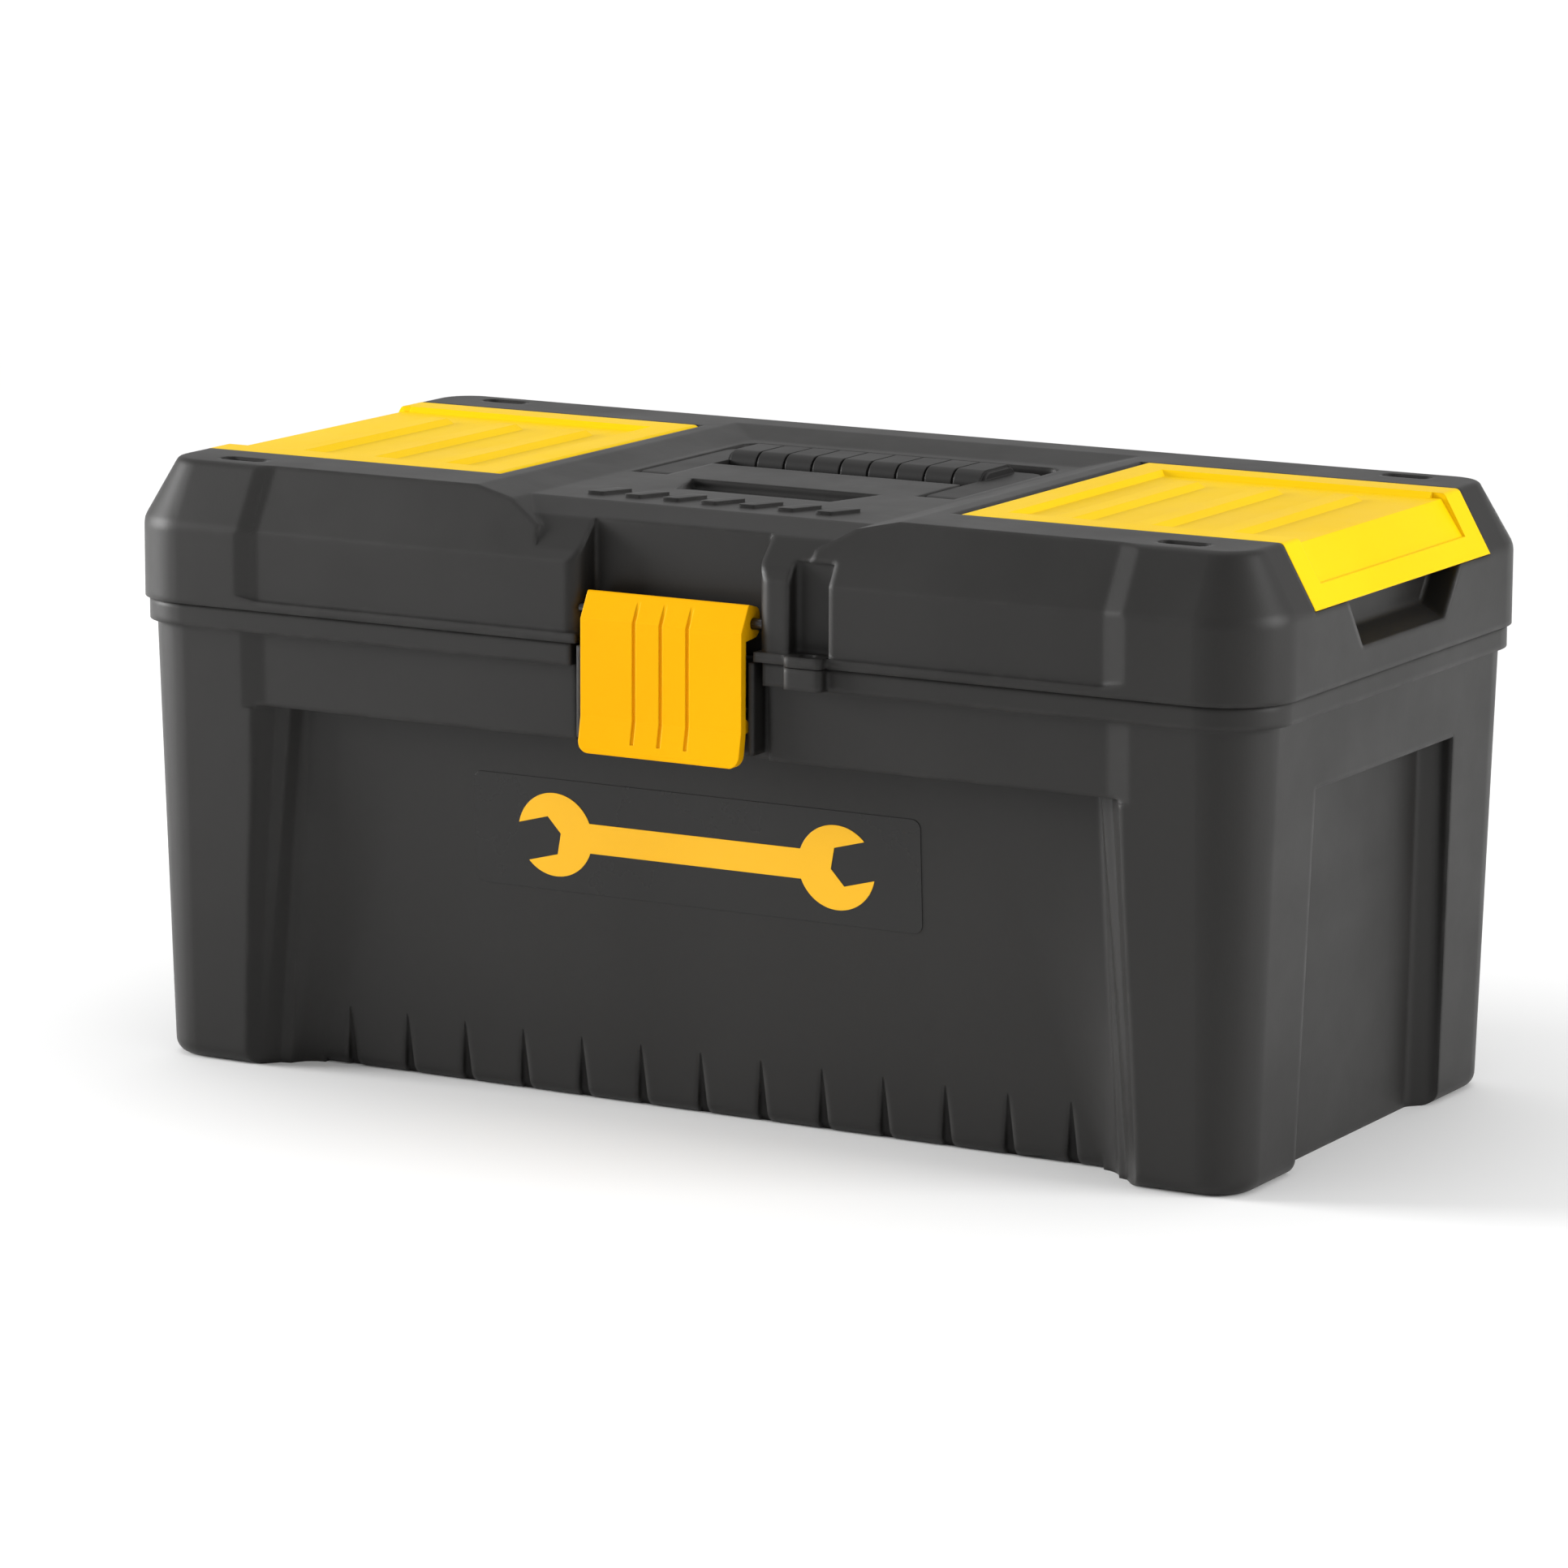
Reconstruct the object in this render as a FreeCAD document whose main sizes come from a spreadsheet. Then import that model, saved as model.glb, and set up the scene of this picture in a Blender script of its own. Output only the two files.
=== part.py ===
import FreeCAD, Part
import math
import os
import re
import Sketcher

# A plastic toolbox: a deep base, a hinged lid with two small-parts bins under
# their own flaps, a fold-down carry handle, one front latch and a lift-out tray.
# +Z is up, the front is at -Y, and the origin is under the middle of the footprint.

doc = FreeCAD.newDocument("Toolbox")
sheet = doc.addObject("Spreadsheet::Sheet", "Sizes")

sizes = {
    # whole box
    "boxTop": 195.0,
    "rimHalfLength": 203.0,
    "rimHalfDepth": 99.4,
    "rimRadius": 23.0,
    "wall": 2.6,
    "gap": 0.3,
    "latchProud": 3.6,
    # base shell
    "lidHeight": 45.0,
    "baseInsetX": 4.6,
    "baseInsetY": 3.2,
    "baseRadius": 18.5,
    "baseDraft": 1.8,
    "floorThick": 3.0,
    "footRound": 5.0,
    "lipHeight": 7.0,
    "lipInset": 1.4,
    "tongueHeight": 2.4,
    "tongueThick": 1.6,
    "tongueRoom": 2.3,
    # sunk panels between the corner columns
    "panelDrop": 31.0,
    "columnWidth": 48.4,
    "columnFlare": 5.0,
    "panelStepDepth": 7.2,
    "panelDepth": 14.2,
    "panelDraft": 3.3,
    "panelStepWidth": 5.0,
    "endColumnWidth": 46.2,
    "endPanelDepth": 10.4,
    "endPanelDraft": 1.0,
    "notchPitch": 21.7,
    "notchWidth": 4.6,
    "notchDepth": 3.6,
    "notchHeight": 20.0,
    "toeRound": 4.0,
    # latch bay
    "bayRoom": 5.6,
    "bayDepth": 8.4,
    "cheekRoom": 1.2,
    "cheekThick": 1.6,
    "keeperReach": 3.4,
    "keeperDrop": 19.0,
    "keeperThick": 3.2,
    "keeperEndRoom": 0.8,
    # padlock eye
    "eyeOffset": 15.9,
    "eyeInset": 1.1,
    "eyeRadius": 2.6,
    "eyeHalfWidth": 6.7,
    "eyeSetBack": 0.4,
    "eyeDrop": 6.6,
    "eyeRise": 3.2,
    # rear hinges
    "hingeX": 120.0,
    "barrelRadius": 3.3,
    "knuckleHalf": 6.0,
    "earWidth": 10.0,
    "hingePinRadius": 1.5,
    "runClear": 0.06,
    # lid shell
    "shoulderDrop": 19.7,
    "lidSlope": 29.8,
    "lidTopRound": 2.5,
    "shoulderRound": 6.0,
    "midBlendSlope": 10.6,
    "midSink": 1.5,
    "beadHeight": 3.0,
    "dishTopX": 75.0,
    "dishSlope": 14.0,
    "dishDrop": 3.0,
    "dishFrontInset": 22.4,
    "dishRearInset": 38.4,
    "browInset": 12.2,
    "browDrop": 7.2,
    "recessRoom": 3.1,
    "recessRound": 4.9,
    "recessDepth": 12.5,
    "grooveHalfWidth": 7.0,
    "grooveDepth": 6.9,
    "grooveDrop": 13.4,
    "cornerSlotInsetX": 36.0,
    "cornerSlotInsetY": 20.4,
    "cornerSlotLength": 17.0,
    "cornerSlotWidth": 6.4,
    "cornerSlotDepth": 2.2,
    "stepTopY": 24.0,
    "stepHalfWidth": 34.0,
    "stepLength": 22.0,
    "stepDepth": 3.4,
    "badgeBarPitch": 13.6,
    "badgeBarHeight": 1.0,
    "badgeBarY": 63.0,
    # small-parts bins and flaps
    "dishEdge": 7.0,
    "flapInset": 36.0,
    "flapThick": 3.2,
    "flapSink": 1.8,
    "flapBorder": 11.0,
    "flapLowBorder": 6.0,
    "flapRibStart": 30.0,
    "flapRibPitch": 27.0,
    "flapRibRearGap": 17.0,
    "flapBeadRadius": 2.3,
    "flapLipDrop": 19.6,
    "flapPinRadius": 1.0,
    "flapPinLength": 11.0,
    "binInset": 10.0,
    "binEndWall": 18.0,
    "binSideInset": 6.4,
    "binDepth": 35.0,
    "gripTopHalf": 41.0,
    "gripLowHalf": 30.0,
    "gripDrop": 35.0,
    "gripDepth": 10.0,
    # carry handle
    "pivotY": 14.0,
    "pivotDrop": 9.1,
    "armRadius": 5.8,
    "armWidth": 11.4,
    "armRoom": 3.6,
    "handlePinRadius": 2.0,
    "handlePinSeat": 3.5,
    "barFrontY": 20.0,
    "barRearY": 43.0,
    "barDrop": 0.4,
    "barThick": 14.0,
    "barRound": 4.5,
    "ringGroove": 0.9,
    "ringSink": 0.8,
    "fingerRoom": 12.0,
    "wellDepth": 23.0,
    "armWellDepth": 15.6,
    # front latch
    "latchHalfWidth": 28.6,
    "latchPivotInset": 5.4,
    "latchPivotRise": 11.0,
    "latchPinRadius": 1.8,
    "latchThick": 2.8,
    "latchFlare": 1.8,
    "latchHang": 33.0,
    "latchSeatDepth": 5.0,
    # lift-out tray
    "trayDrop": 4.0,
    "trayDepth": 50.0,
    "trayEndRoom": 5.3,
    "trayClear": 0.5,
    "trayFlangeReach": 2.0,
    "trayTubRoom": 4.4,
    "trayWall": 2.2,
    "trayDraft": 1.5,
    "trayDividerX": 62.0,
    "trayDividerThick": 2.2,
    "trayDividerDrop": 10.0,
    "trayGrooveRoom": 0.1,
    "trayRibThick": 2.4,
    "trayRibDrop": 8.0,
    "trayLoopRise": 9.5,
    "trayHandleHalf": 52.0,
    "trayHandleThick": 9.0,
    "trayHandleGap": 20.0,
    # front label
    "labelHalfWidth": 80.0,
    "labelDrop": 16.0,
    "labelHeight": 36.0,
    "labelThick": 0.2,
    "labelRadius": 3.0,
}

for row, (word, amount) in enumerate(sizes.items(), start=1):
    sheet.set("A%d" % row, word)
    sheet.set("B%d" % row, str(amount))
    sheet.setAlias("B%d" % row, word)
doc.recompute()

notchCount = 13
badgeBarCount = 7
ringCount = 9

# sizes that follow from the driving ones, so that what fits together stays together
places = {
    "baseTop": "boxTop - lidHeight",
    "frontReach": "rimHalfDepth + latchProud",
    "baseHalfLength": "rimHalfLength - baseInsetX",
    "baseHalfDepth": "rimHalfDepth - baseInsetY",
    "panelTop": "baseTop - panelDrop",
    "panelHalfWidth": "baseHalfLength - columnWidth",
    "panelStepY": "baseHalfDepth - panelStepDepth",
    "panelY": "baseHalfDepth - panelDepth",
    "endPanelHalfWidth": "baseHalfDepth - endColumnWidth",
    "endPanelX": "baseHalfLength - endPanelDepth",
    "bayHalfWidth": "latchHalfWidth + bayRoom",
    "bayY": "rimHalfDepth - bayDepth",
    "cheekInner": "latchHalfWidth + cheekRoom",
    "keeperLow": "baseTop - keeperDrop",
    "eyeX": "bayHalfWidth + eyeOffset",
    "eyeY": "rimHalfDepth - eyeInset",
    "tongueGap": "eyeX + grooveHalfWidth + wall + tongueRoom",
    "eyeReach": "frontReach - eyeSetBack",
    "shoulderZ": "boxTop - shoulderDrop",
    "midHalfWidth": "panelHalfWidth",
    "midBlend": "midSink / tan(midBlendSlope)",
    "dishLowX": "dishTopX - dishSlope",
    "dishFrontY": "rimHalfDepth - dishFrontInset",
    "dishRearY": "rimHalfDepth - dishRearInset",
    "browY": "rimHalfDepth - browInset",
    "recessHalfWidth": "latchHalfWidth + recessRoom",
    "recessY": "rimHalfDepth - recessDepth",
    "grooveY": "rimHalfDepth - grooveDepth",
    "grooveTop": "boxTop - grooveDrop",
    "cornerSlotX": "rimHalfLength - cornerSlotInsetX",
    "cornerSlotY": "rimHalfDepth - cornerSlotInsetY",
    "flapInnerX": "dishTopX + dishEdge",
    "flapHalfWidth": "rimHalfDepth - flapInset",
    "binInnerX": "flapInnerX + binInset",
    "binOuterX": "rimHalfLength - binEndWall",
    "binHalfWidth": "flapHalfWidth - binSideInset",
    "binFloor": "boxTop - binDepth",
    "gripLowZ": "boxTop - gripDrop",
    "pivotZ": "boxTop - pivotDrop",
    "armOuter": "dishLowX - armRoom",
    "armInner": "armOuter - armWidth",
    "barTop": "boxTop - barDrop",
    "barLow": "barTop - barThick",
    "ringPitch": "2 * armInner / %d" % ringCount,
    "wellFrontY": "barFrontY - fingerRoom",
    "wellRearY": "barRearY + fingerRoom",
    "wellFloor": "boxTop - wellDepth",
    "armWellFloor": "boxTop - armWellDepth",
    "latchPivotY": "rimHalfDepth - latchPivotInset",
    "latchPivotZ": "baseTop + latchPivotRise",
    "latchFaceY": "frontReach - latchFlare",
    "latchLow": "baseTop - latchHang",
    "trayTop": "baseTop - trayDrop",
    "trayFloorZ": "trayTop - trayDepth",
    "trayRimHalfLength": "baseHalfLength - wall - trayEndRoom",
    "trayRimHalfDepth": "recessY - wall - trayClear + trayFlangeReach",
    "trayHalfLength": "endPanelX - wall - trayTubRoom",
    "trayHalfDepth": "panelY - wall - trayTubRoom",
    "trayHandleTop": "trayTop + trayLoopRise",
    "labelHigh": "panelTop - labelDrop",
    "labelLow": "labelHigh - labelHeight",
}

# places used in many pieces
lidLow = "(baseTop + gap)"
lipLow = "(baseTop - lipHeight)"
hingeY = "(rimHalfDepth + gap)"
panelFootY = "(panelY - panelTop * tan(panelDraft))"
dishFloor = "(boxTop - dishDrop)"
lidTopX = "(rimHalfLength - (boxTop - shoulderZ) * tan(lidSlope))"
shelfZ = "(panelTop + wall)"
flapPinX = "(flapInnerX + flapBeadRadius)"
flapPinZ = "(boxTop - flapBeadRadius)"
flapLipZ = "(boxTop - flapLipDrop)"
flapLipX = "(rimHalfLength - (boxTop - flapLipDrop - shoulderZ) * tan(lidSlope))"

planes = {
    "XY": FreeCAD.Rotation(),
    "XZ": FreeCAD.Rotation(FreeCAD.Vector(1, 0, 0), 90),
    "YZ": FreeCAD.Rotation(FreeCAD.Vector(1, 1, 1), 120),
}
across = {"XY": "z", "XZ": "y", "YZ": "x"}


def full(text):
    """Point each size's name at its cell in the sheet, and write a place out as the sizes it follows from."""
    def cell(word):
        if word[0] in places:
            return "(%s)" % full(places[word[0]])
        return "Sizes." + word[0] if word[0] in sizes else word[0]

    return re.sub(r"[A-Za-z]\w*", cell, text)


def number(text):
    return float(sheet.evalExpression(full(text)))


def bind(item, path, text):
    item.setExpression(path, full(text))


def fillOutline(sketch, corners):
    """Draw a closed outline whose corners, (x, y) or (x, y, rounding), follow the sheet."""
    count = len(corners)
    points = [FreeCAD.Vector(number(corner[0]), number(corner[1]), 0) for corner in corners]
    starts, ends, arcs = [], [], {}
    for index, corner in enumerate(corners):
        point = points[index]
        before = (points[index - 1] - point).normalize()
        after = (points[(index + 1) % count] - point).normalize()
        radius = number(corner[2]) if len(corner) > 2 else 0
        if not radius:
            starts.append(point)
            ends.append(point)
            continue
        half = before.getAngle(after) / 2
        reach = radius / math.tan(half)
        centre = point + (before + after).normalize() * (radius / math.sin(half))
        first, last = point + before * reach, point + after * reach
        starts.append(last)
        ends.append(first)
        arcs[index] = (centre, radius, first, last, before.cross(after).z < 0)
    for index in range(count):
        sketch.addGeometry(Part.LineSegment(starts[index], ends[(index + 1) % count]), False)
    for index, corner in enumerate(corners):
        previous = (index - 1) % count
        if index not in arcs:
            sketch.addConstraint(Sketcher.Constraint("Coincident", previous, 2, index, 1))
            anchor = (index, 1)
        else:
            centre, radius, first, last, leftTurn = arcs[index]
            low, high = (first, last) if leftTurn else (last, first)
            circle = Part.Circle(centre, FreeCAD.Vector(0, 0, 1), radius)
            bend = Part.ArcOfCircle(circle, circle.parameter(low), circle.parameter(high))
            arc = sketch.addGeometry(bend, False)
            mark = sketch.addGeometry(Part.Point(points[index]), True)
            inEnd, outEnd = (1, 2) if leftTurn else (2, 1)
            sketch.addConstraint(Sketcher.Constraint("Tangent", previous, 2, arc, inEnd))
            sketch.addConstraint(Sketcher.Constraint("Tangent", arc, outEnd, index, 1))
            sketch.addConstraint(Sketcher.Constraint("PointOnObject", mark, 1, previous))
            sketch.addConstraint(Sketcher.Constraint("PointOnObject", mark, 1, index))
            rule = sketch.addConstraint(Sketcher.Constraint("Radius", arc, radius))
            bind(sketch, "Constraints[%d]" % rule, corner[2])
            anchor = (mark, 1)
        for kind, text in (("DistanceX", corner[0]), ("DistanceY", corner[1])):
            rule = sketch.addConstraint(Sketcher.Constraint(kind, -1, 1, anchor[0], anchor[1], number(text)))
            bind(sketch, "Constraints[%d]" % rule, text)


def prism(name, plane, low, high, corners, taper="0", down=False):
    """Extrude an outline from low to high; a tapered one may be drawn at its top and run down."""
    sketch = doc.addObject("Sketcher::SketchObject", name + "Outline")
    fillOutline(sketch, corners)
    sketch.Placement = FreeCAD.Placement(FreeCAD.Vector(), planes[plane])
    bind(sketch, "Placement.Base." + across[plane], high if plane == "XZ" or down else low)
    solid = doc.addObject("Part::Extrusion", name)
    solid.Base = sketch
    solid.DirMode = "Normal"
    solid.Solid = True
    solid.Reversed = down
    bind(solid, "LengthFwd", "(%s) - (%s)" % (high, low))
    bind(solid, "TaperAngle", taper)
    return solid


def block(name, x, y, z):
    """A plain box between a low and a high value along each axis."""
    solid = doc.addObject("Part::Box", name)
    for axis, side, (low, high) in zip("xyz", ("Length", "Width", "Height"), (x, y, z)):
        bind(solid, side, "(%s) - (%s)" % (high, low))
        bind(solid, "Placement.Base." + axis, low)
    return solid


def rod(name, axis, low, high, centre, radius):
    """A round bar along X, Y or Z; centre gives the other two coordinates in order."""
    solid = doc.addObject("Part::Cylinder", name)
    turns = {
        "x": FreeCAD.Rotation(FreeCAD.Vector(0, 1, 0), 90),
        "y": FreeCAD.Rotation(FreeCAD.Vector(1, 0, 0), -90),
        "z": FreeCAD.Rotation(),
    }
    solid.Placement = FreeCAD.Placement(FreeCAD.Vector(), turns[axis])
    bind(solid, "Radius", radius)
    bind(solid, "Height", "(%s) - (%s)" % (high, low))
    bind(solid, "Placement.Base." + axis, low)
    for other, text in zip([letter for letter in "xyz" if letter != axis], centre):
        bind(solid, "Placement.Base." + other, text)
    return solid


def join(name, pieces):
    solid = doc.addObject("Part::MultiFuse", name)
    solid.Shapes = pieces
    solid.Refine = True
    return solid


def remove(name, base, tools):
    solid = doc.addObject("Part::Cut", name)
    solid.Base = base
    solid.Tool = join(name + "Tools", tools) if len(tools) > 1 else tools[0]
    solid.Refine = True
    return solid


def common(name, pieces):
    solid = doc.addObject("Part::MultiCommon", name)
    solid.Shapes = pieces
    return solid


def mirror(name, source, normal):
    solid = doc.addObject("Part::Mirroring", name)
    solid.Source = source
    solid.Normal = normal
    return solid


def soften(name, base, radius, wanted):
    """Round the edges of base for which wanted(edge) holds."""
    doc.recompute()
    solid = doc.addObject("Part::Fillet", name)
    solid.Base = base
    size = number(radius)
    solid.Edges = [(spot, size, size) for spot, edge in enumerate(base.Shape.Edges, start=1) if wanted(edge)]
    return solid


def flatAt(level):
    """True for an edge that lies wholly at this height."""
    height = number(level)
    return lambda edge: abs(edge.BoundBox.ZMin - height) < 1e-4 and abs(edge.BoundBox.ZMax - height) < 1e-4


def ring(halfX, halfY, radius):
    """The four rounded corners of a rectangle centred on the origin."""
    return [
        ("-(%s)" % halfX, "-(%s)" % halfY, radius),
        (halfX, "-(%s)" % halfY, radius),
        (halfX, halfY, radius),
        ("-(%s)" % halfX, halfY, radius),
    ]


def pair(texts, sign="-"):
    """Mirror an open run of corners about x = 0 and close it."""
    left = [("-(%s)" % corner[0],) + tuple(corner[1:]) for corner in texts]
    return texts + left[::-1]


# ---------------------------------------------------------------- base shell

def basePanels(grow):
    """The sunk panels' cutters, front, rear and both ends, each grown by a wall for the inside."""
    tag = "Inner" if grow != "0" else "Outer"
    top = "panelTop + (%s)" % grow
    far = "rimHalfDepth + 15"
    front = prism("frontPanel" + tag, "XY", "-1", top, pair([
        ("panelHalfWidth + columnFlare + (%s)" % grow, "-(%s)" % far),
        ("panelHalfWidth + columnFlare + (%s)" % grow, "-(baseHalfDepth - 0.5 - (%s))" % grow),
        ("panelHalfWidth + (%s)" % grow, "-(panelStepY + 1.2 - (%s))" % grow, "3"),
        ("panelHalfWidth - 1 + (%s)" % grow, "-(panelStepY - (%s))" % grow),
        ("panelHalfWidth - panelStepWidth + (%s)" % grow, "-(panelStepY - 1 - (%s))" % grow),
        ("panelHalfWidth - panelStepWidth - 3 + (%s)" % grow, "-(panelY - (%s))" % grow, "2"),
    ]), "panelDraft", True)
    right = prism("endPanel" + tag, "XY", "-1", top, [
        ("rimHalfLength + 15", "-(endPanelHalfWidth + (%s))" % grow),
        ("rimHalfLength + 15", "endPanelHalfWidth + (%s)" % grow),
        ("endPanelX + 5 - (%s)" % grow, "endPanelHalfWidth + (%s)" % grow, "1.5"),
        ("endPanelX - (%s)" % grow, "endPanelHalfWidth - 5 + (%s)" % grow, "2"),
        ("endPanelX - (%s)" % grow, "-(endPanelHalfWidth - 5 + (%s))" % grow, "2"),
        ("endPanelX + 5 - (%s)" % grow, "-(endPanelHalfWidth + (%s))" % grow, "1.5"),
    ], "endPanelDraft", True)
    rear = mirror("rearPanel" + tag, front, FreeCAD.Vector(0, 1, 0))
    left = mirror("leftPanel" + tag, right, FreeCAD.Vector(1, 0, 0))
    if grow == "0":
        band = [("panelHalfWidth + 1.2 * midBlend", "-(%s)" % far),
                ("panelHalfWidth + 1.2 * midBlend", "-(baseHalfDepth + 0.2 * midSink)"),
                ("panelHalfWidth", "-(baseHalfDepth - midSink)", "8")]
    else:
        band = [("panelHalfWidth + (%s)" % grow, "-(%s)" % far),
                ("panelHalfWidth + (%s)" % grow, "-(baseHalfDepth - midSink - (%s))" % grow)]
    frontBand = prism("frontBand" + tag, "XY", "panelTop - 1", lipLow, pair(band), "baseDraft", True)
    rearBand = mirror("rearBand" + tag, frontBand, FreeCAD.Vector(0, 1, 0))
    return [front, rear, left, right, frontBand, rearBand]


def latchBay(grow):
    tag = "Inner" if grow != "0" else "Outer"
    return block("latchBay" + tag,
                 ("-(bayHalfWidth + (%s))" % grow, "bayHalfWidth + (%s)" % grow),
                 ("-(rimHalfDepth + 10)", "-(bayY - (%s))" % grow),
                 ("panelTop - 1", "baseTop + 10"))


def bottomNotches():
    """V notches along the foot of the front panel, with the rounded toe between them."""
    cutters = []
    for spot in range(notchCount):
        step = spot - (notchCount - 1) // 2
        notch = doc.addObject("Part::Wedge", "notch%02d" % (spot + 1))
        bind(notch, "Xmin", "-notchWidth / 2")
        bind(notch, "Xmax", "notchWidth / 2")
        bind(notch, "X2min", "-0.25")
        bind(notch, "X2max", "0.25")
        bind(notch, "Ymin", "-1")
        bind(notch, "Ymax", "notchHeight")
        bind(notch, "Zmin", "-notchDepth")
        bind(notch, "Zmax", "5")
        bind(notch, "Z2min", "-0.1")
        bind(notch, "Z2max", "5")
        turn = FreeCAD.Rotation(FreeCAD.Vector(1, 0, 0), 90 + number("panelDraft"))
        notch.Placement = FreeCAD.Placement(FreeCAD.Vector(), turn)
        bind(notch, "Placement.Base.x", "notchPitch * (%d)" % step)
        bind(notch, "Placement.Base.y", "-" + panelFootY)
        cutters.append(notch)
    half = "panelHalfWidth - panelStepWidth - 4"
    toe = prism("toeRounding", "YZ", "-(%s)" % half, half, [
        ("-(%s + toeRound * 1.2 * tan(panelDraft))" % panelFootY, "toeRound * 1.2"),
        ("-%s" % panelFootY, "0", "toeRound"),
        ("-(%s - toeRound * 1.2)" % panelFootY, "0"),
        ("-(%s - toeRound * 1.2)" % panelFootY, "-2"),
        ("-(%s + 9)" % panelFootY, "-2"),
        ("-(%s + 9)" % panelFootY, "toeRound * 1.2"),
    ])
    front = join("frontNotches", cutters + [toe])
    return [front, mirror("rearNotches", front, FreeCAD.Vector(0, 1, 0))]


def hingeRods(name, spans, radius):
    """Bars about the hinge line, one for each (low, high) offset from each hinge's middle."""
    pieces = []
    for side, middle in (("Left", "-hingeX"), ("Right", "hingeX")):
        for spot, (low, high) in enumerate(spans, start=1):
            pieces.append(rod("%s%s%d" % (name, side, spot), "x", "%s + %s" % (middle, low),
                              "%s + %s" % (middle, high), (hingeY, "baseTop"), radius))
    return pieces


earSpans = [("(-knuckleHalf - gap - earWidth)", "(-knuckleHalf - gap)"),
            ("(knuckleHalf + gap)", "(knuckleHalf + gap + earWidth)")]
earRoom = [("(-knuckleHalf - 2 * gap - earWidth)", "(-knuckleHalf)"),
           ("(knuckleHalf)", "(knuckleHalf + 2 * gap + earWidth)")]
knuckleSpan = [("(-knuckleHalf)", "(knuckleHalf)")]
knuckleRoom = [("(-knuckleHalf - gap)", "(knuckleHalf + gap)")]
pinSpan = [("(-knuckleHalf - gap - earWidth)", "(knuckleHalf + gap + earWidth)")]


def hingeWebs(name, spans, low, high):
    """Plates that tie each hinge barrel to the rim beside it."""
    pieces = []
    for side, middle in (("Left", "-hingeX"), ("Right", "hingeX")):
        for spot, (first, last) in enumerate(spans, start=1):
            pieces.append(block("%s%s%d" % (name, side, spot),
                                ("%s + %s" % (middle, first), "%s + %s" % (middle, last)),
                                ("rimHalfDepth - lipInset - 1", hingeY), (low, high)))
    return pieces


def makeBase():
    core = prism("baseCore", "XY", "0", lipLow, ring("baseHalfLength", "baseHalfDepth", "baseRadius"),
                 "-baseDraft", True)
    rounded = soften("baseFoot", core, "footRound", flatAt("0"))
    rimX, rimY = "rimHalfLength - lipInset", "rimHalfDepth - lipInset"
    rim = prism("baseRim", "XY", lipLow, "baseTop", ring(rimX, rimY, "rimRadius - lipInset"))
    tongue = prism("baseTongue", "XY", "baseTop - 1", "baseTop + tongueHeight",
                   ring("baseHalfLength - wall + tongueThick", "baseHalfDepth - wall + tongueThick",
                        "baseRadius - wall + tongueThick"))
    tongueBreak = block("tongueBreak", ("-tongueGap", "tongueGap"),
                        ("-(rimHalfDepth + 5)", "-(baseHalfDepth - 15)"), ("baseTop", "baseTop + 10"))
    openTongue = remove("openTongue", tongue, [tongueBreak])

    hollow = prism("baseHollow", "XY", "floorThick", "baseTop + tongueHeight + 1",
                   ring("baseHalfLength - wall", "baseHalfDepth - wall", "baseRadius - wall"),
                   "-baseDraft", True)
    toeBacking = prism("toeBacking", "YZ", "-(panelHalfWidth)", "panelHalfWidth", [
        ("-(%s - wall + 1)" % panelFootY, "0"),
        ("-(%s - wall - notchDepth - 2)" % panelFootY, "0"),
        ("-(%s - wall - notchDepth - 2)" % panelFootY, "floorThick + 2"),
        ("-(%s - wall + 1)" % panelFootY, "notchHeight + 8"),
    ])
    toes = [toeBacking, mirror("rearToeBacking", toeBacking, FreeCAD.Vector(0, 1, 0))]
    cavity = remove("baseCavity", hollow, basePanels("wall") + [latchBay("wall")] + toes)

    eye = prism("baseEye", "XY", "baseTop - eyeDrop", "baseTop", [
        ("eyeX - eyeHalfWidth", "-(baseHalfDepth - 2)"),
        ("eyeX - eyeHalfWidth", "-eyeReach", "1.8"),
        ("eyeX + eyeHalfWidth", "-eyeReach", "1.8"),
        ("eyeX + eyeHalfWidth", "-(baseHalfDepth - 2)"),
    ])
    shell = join("baseSolid", [rounded, rim, openTongue, eye]
                 + hingeRods("baseEar", earSpans, "barrelRadius")
                 + hingeWebs("earWeb", earSpans, "baseTop - barrelRadius", "baseTop"))
    opened = remove("baseOpened", shell, [cavity, latchBay("0")] + basePanels("0") + bottomNotches()
                    + hingeRods("knuckleRoom", knuckleRoom, "barrelRadius + gap"))
    cheeks = [block("cheek" + side, (low, high), ("-(rimHalfDepth - 0.5)", "-(bayY - 1)"),
                    ("panelTop + 2", "baseTop - gap"))
              for side, low, high in (("Left", "-(cheekInner + cheekThick)", "-cheekInner"),
                                      ("Right", "cheekInner", "cheekInner + cheekThick"))]
    keeper = block("latchKeeper", ("-(cheekInner - keeperEndRoom)", "cheekInner - keeperEndRoom"),
                   ("-(bayY + keeperReach)", "-(bayY - 1)"), ("keeperLow", "keeperLow + keeperThick"))
    whole = join("baseWhole", [opened, keeper] + cheeks)
    eyeHole = rod("baseEyeHole", "z", "baseTop - eyeDrop - 4", "baseTop + 4", ("eyeX", "-eyeY"), "eyeRadius")
    return remove("base_shell", whole, [eyeHole] + hingeRods("earBore", pinSpan, "hingePinRadius"))


# ---------------------------------------------------------------- lid shell

def bothSides(name, piece):
    return [piece, mirror(name, piece, FreeCAD.Vector(1, 0, 0))]


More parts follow.
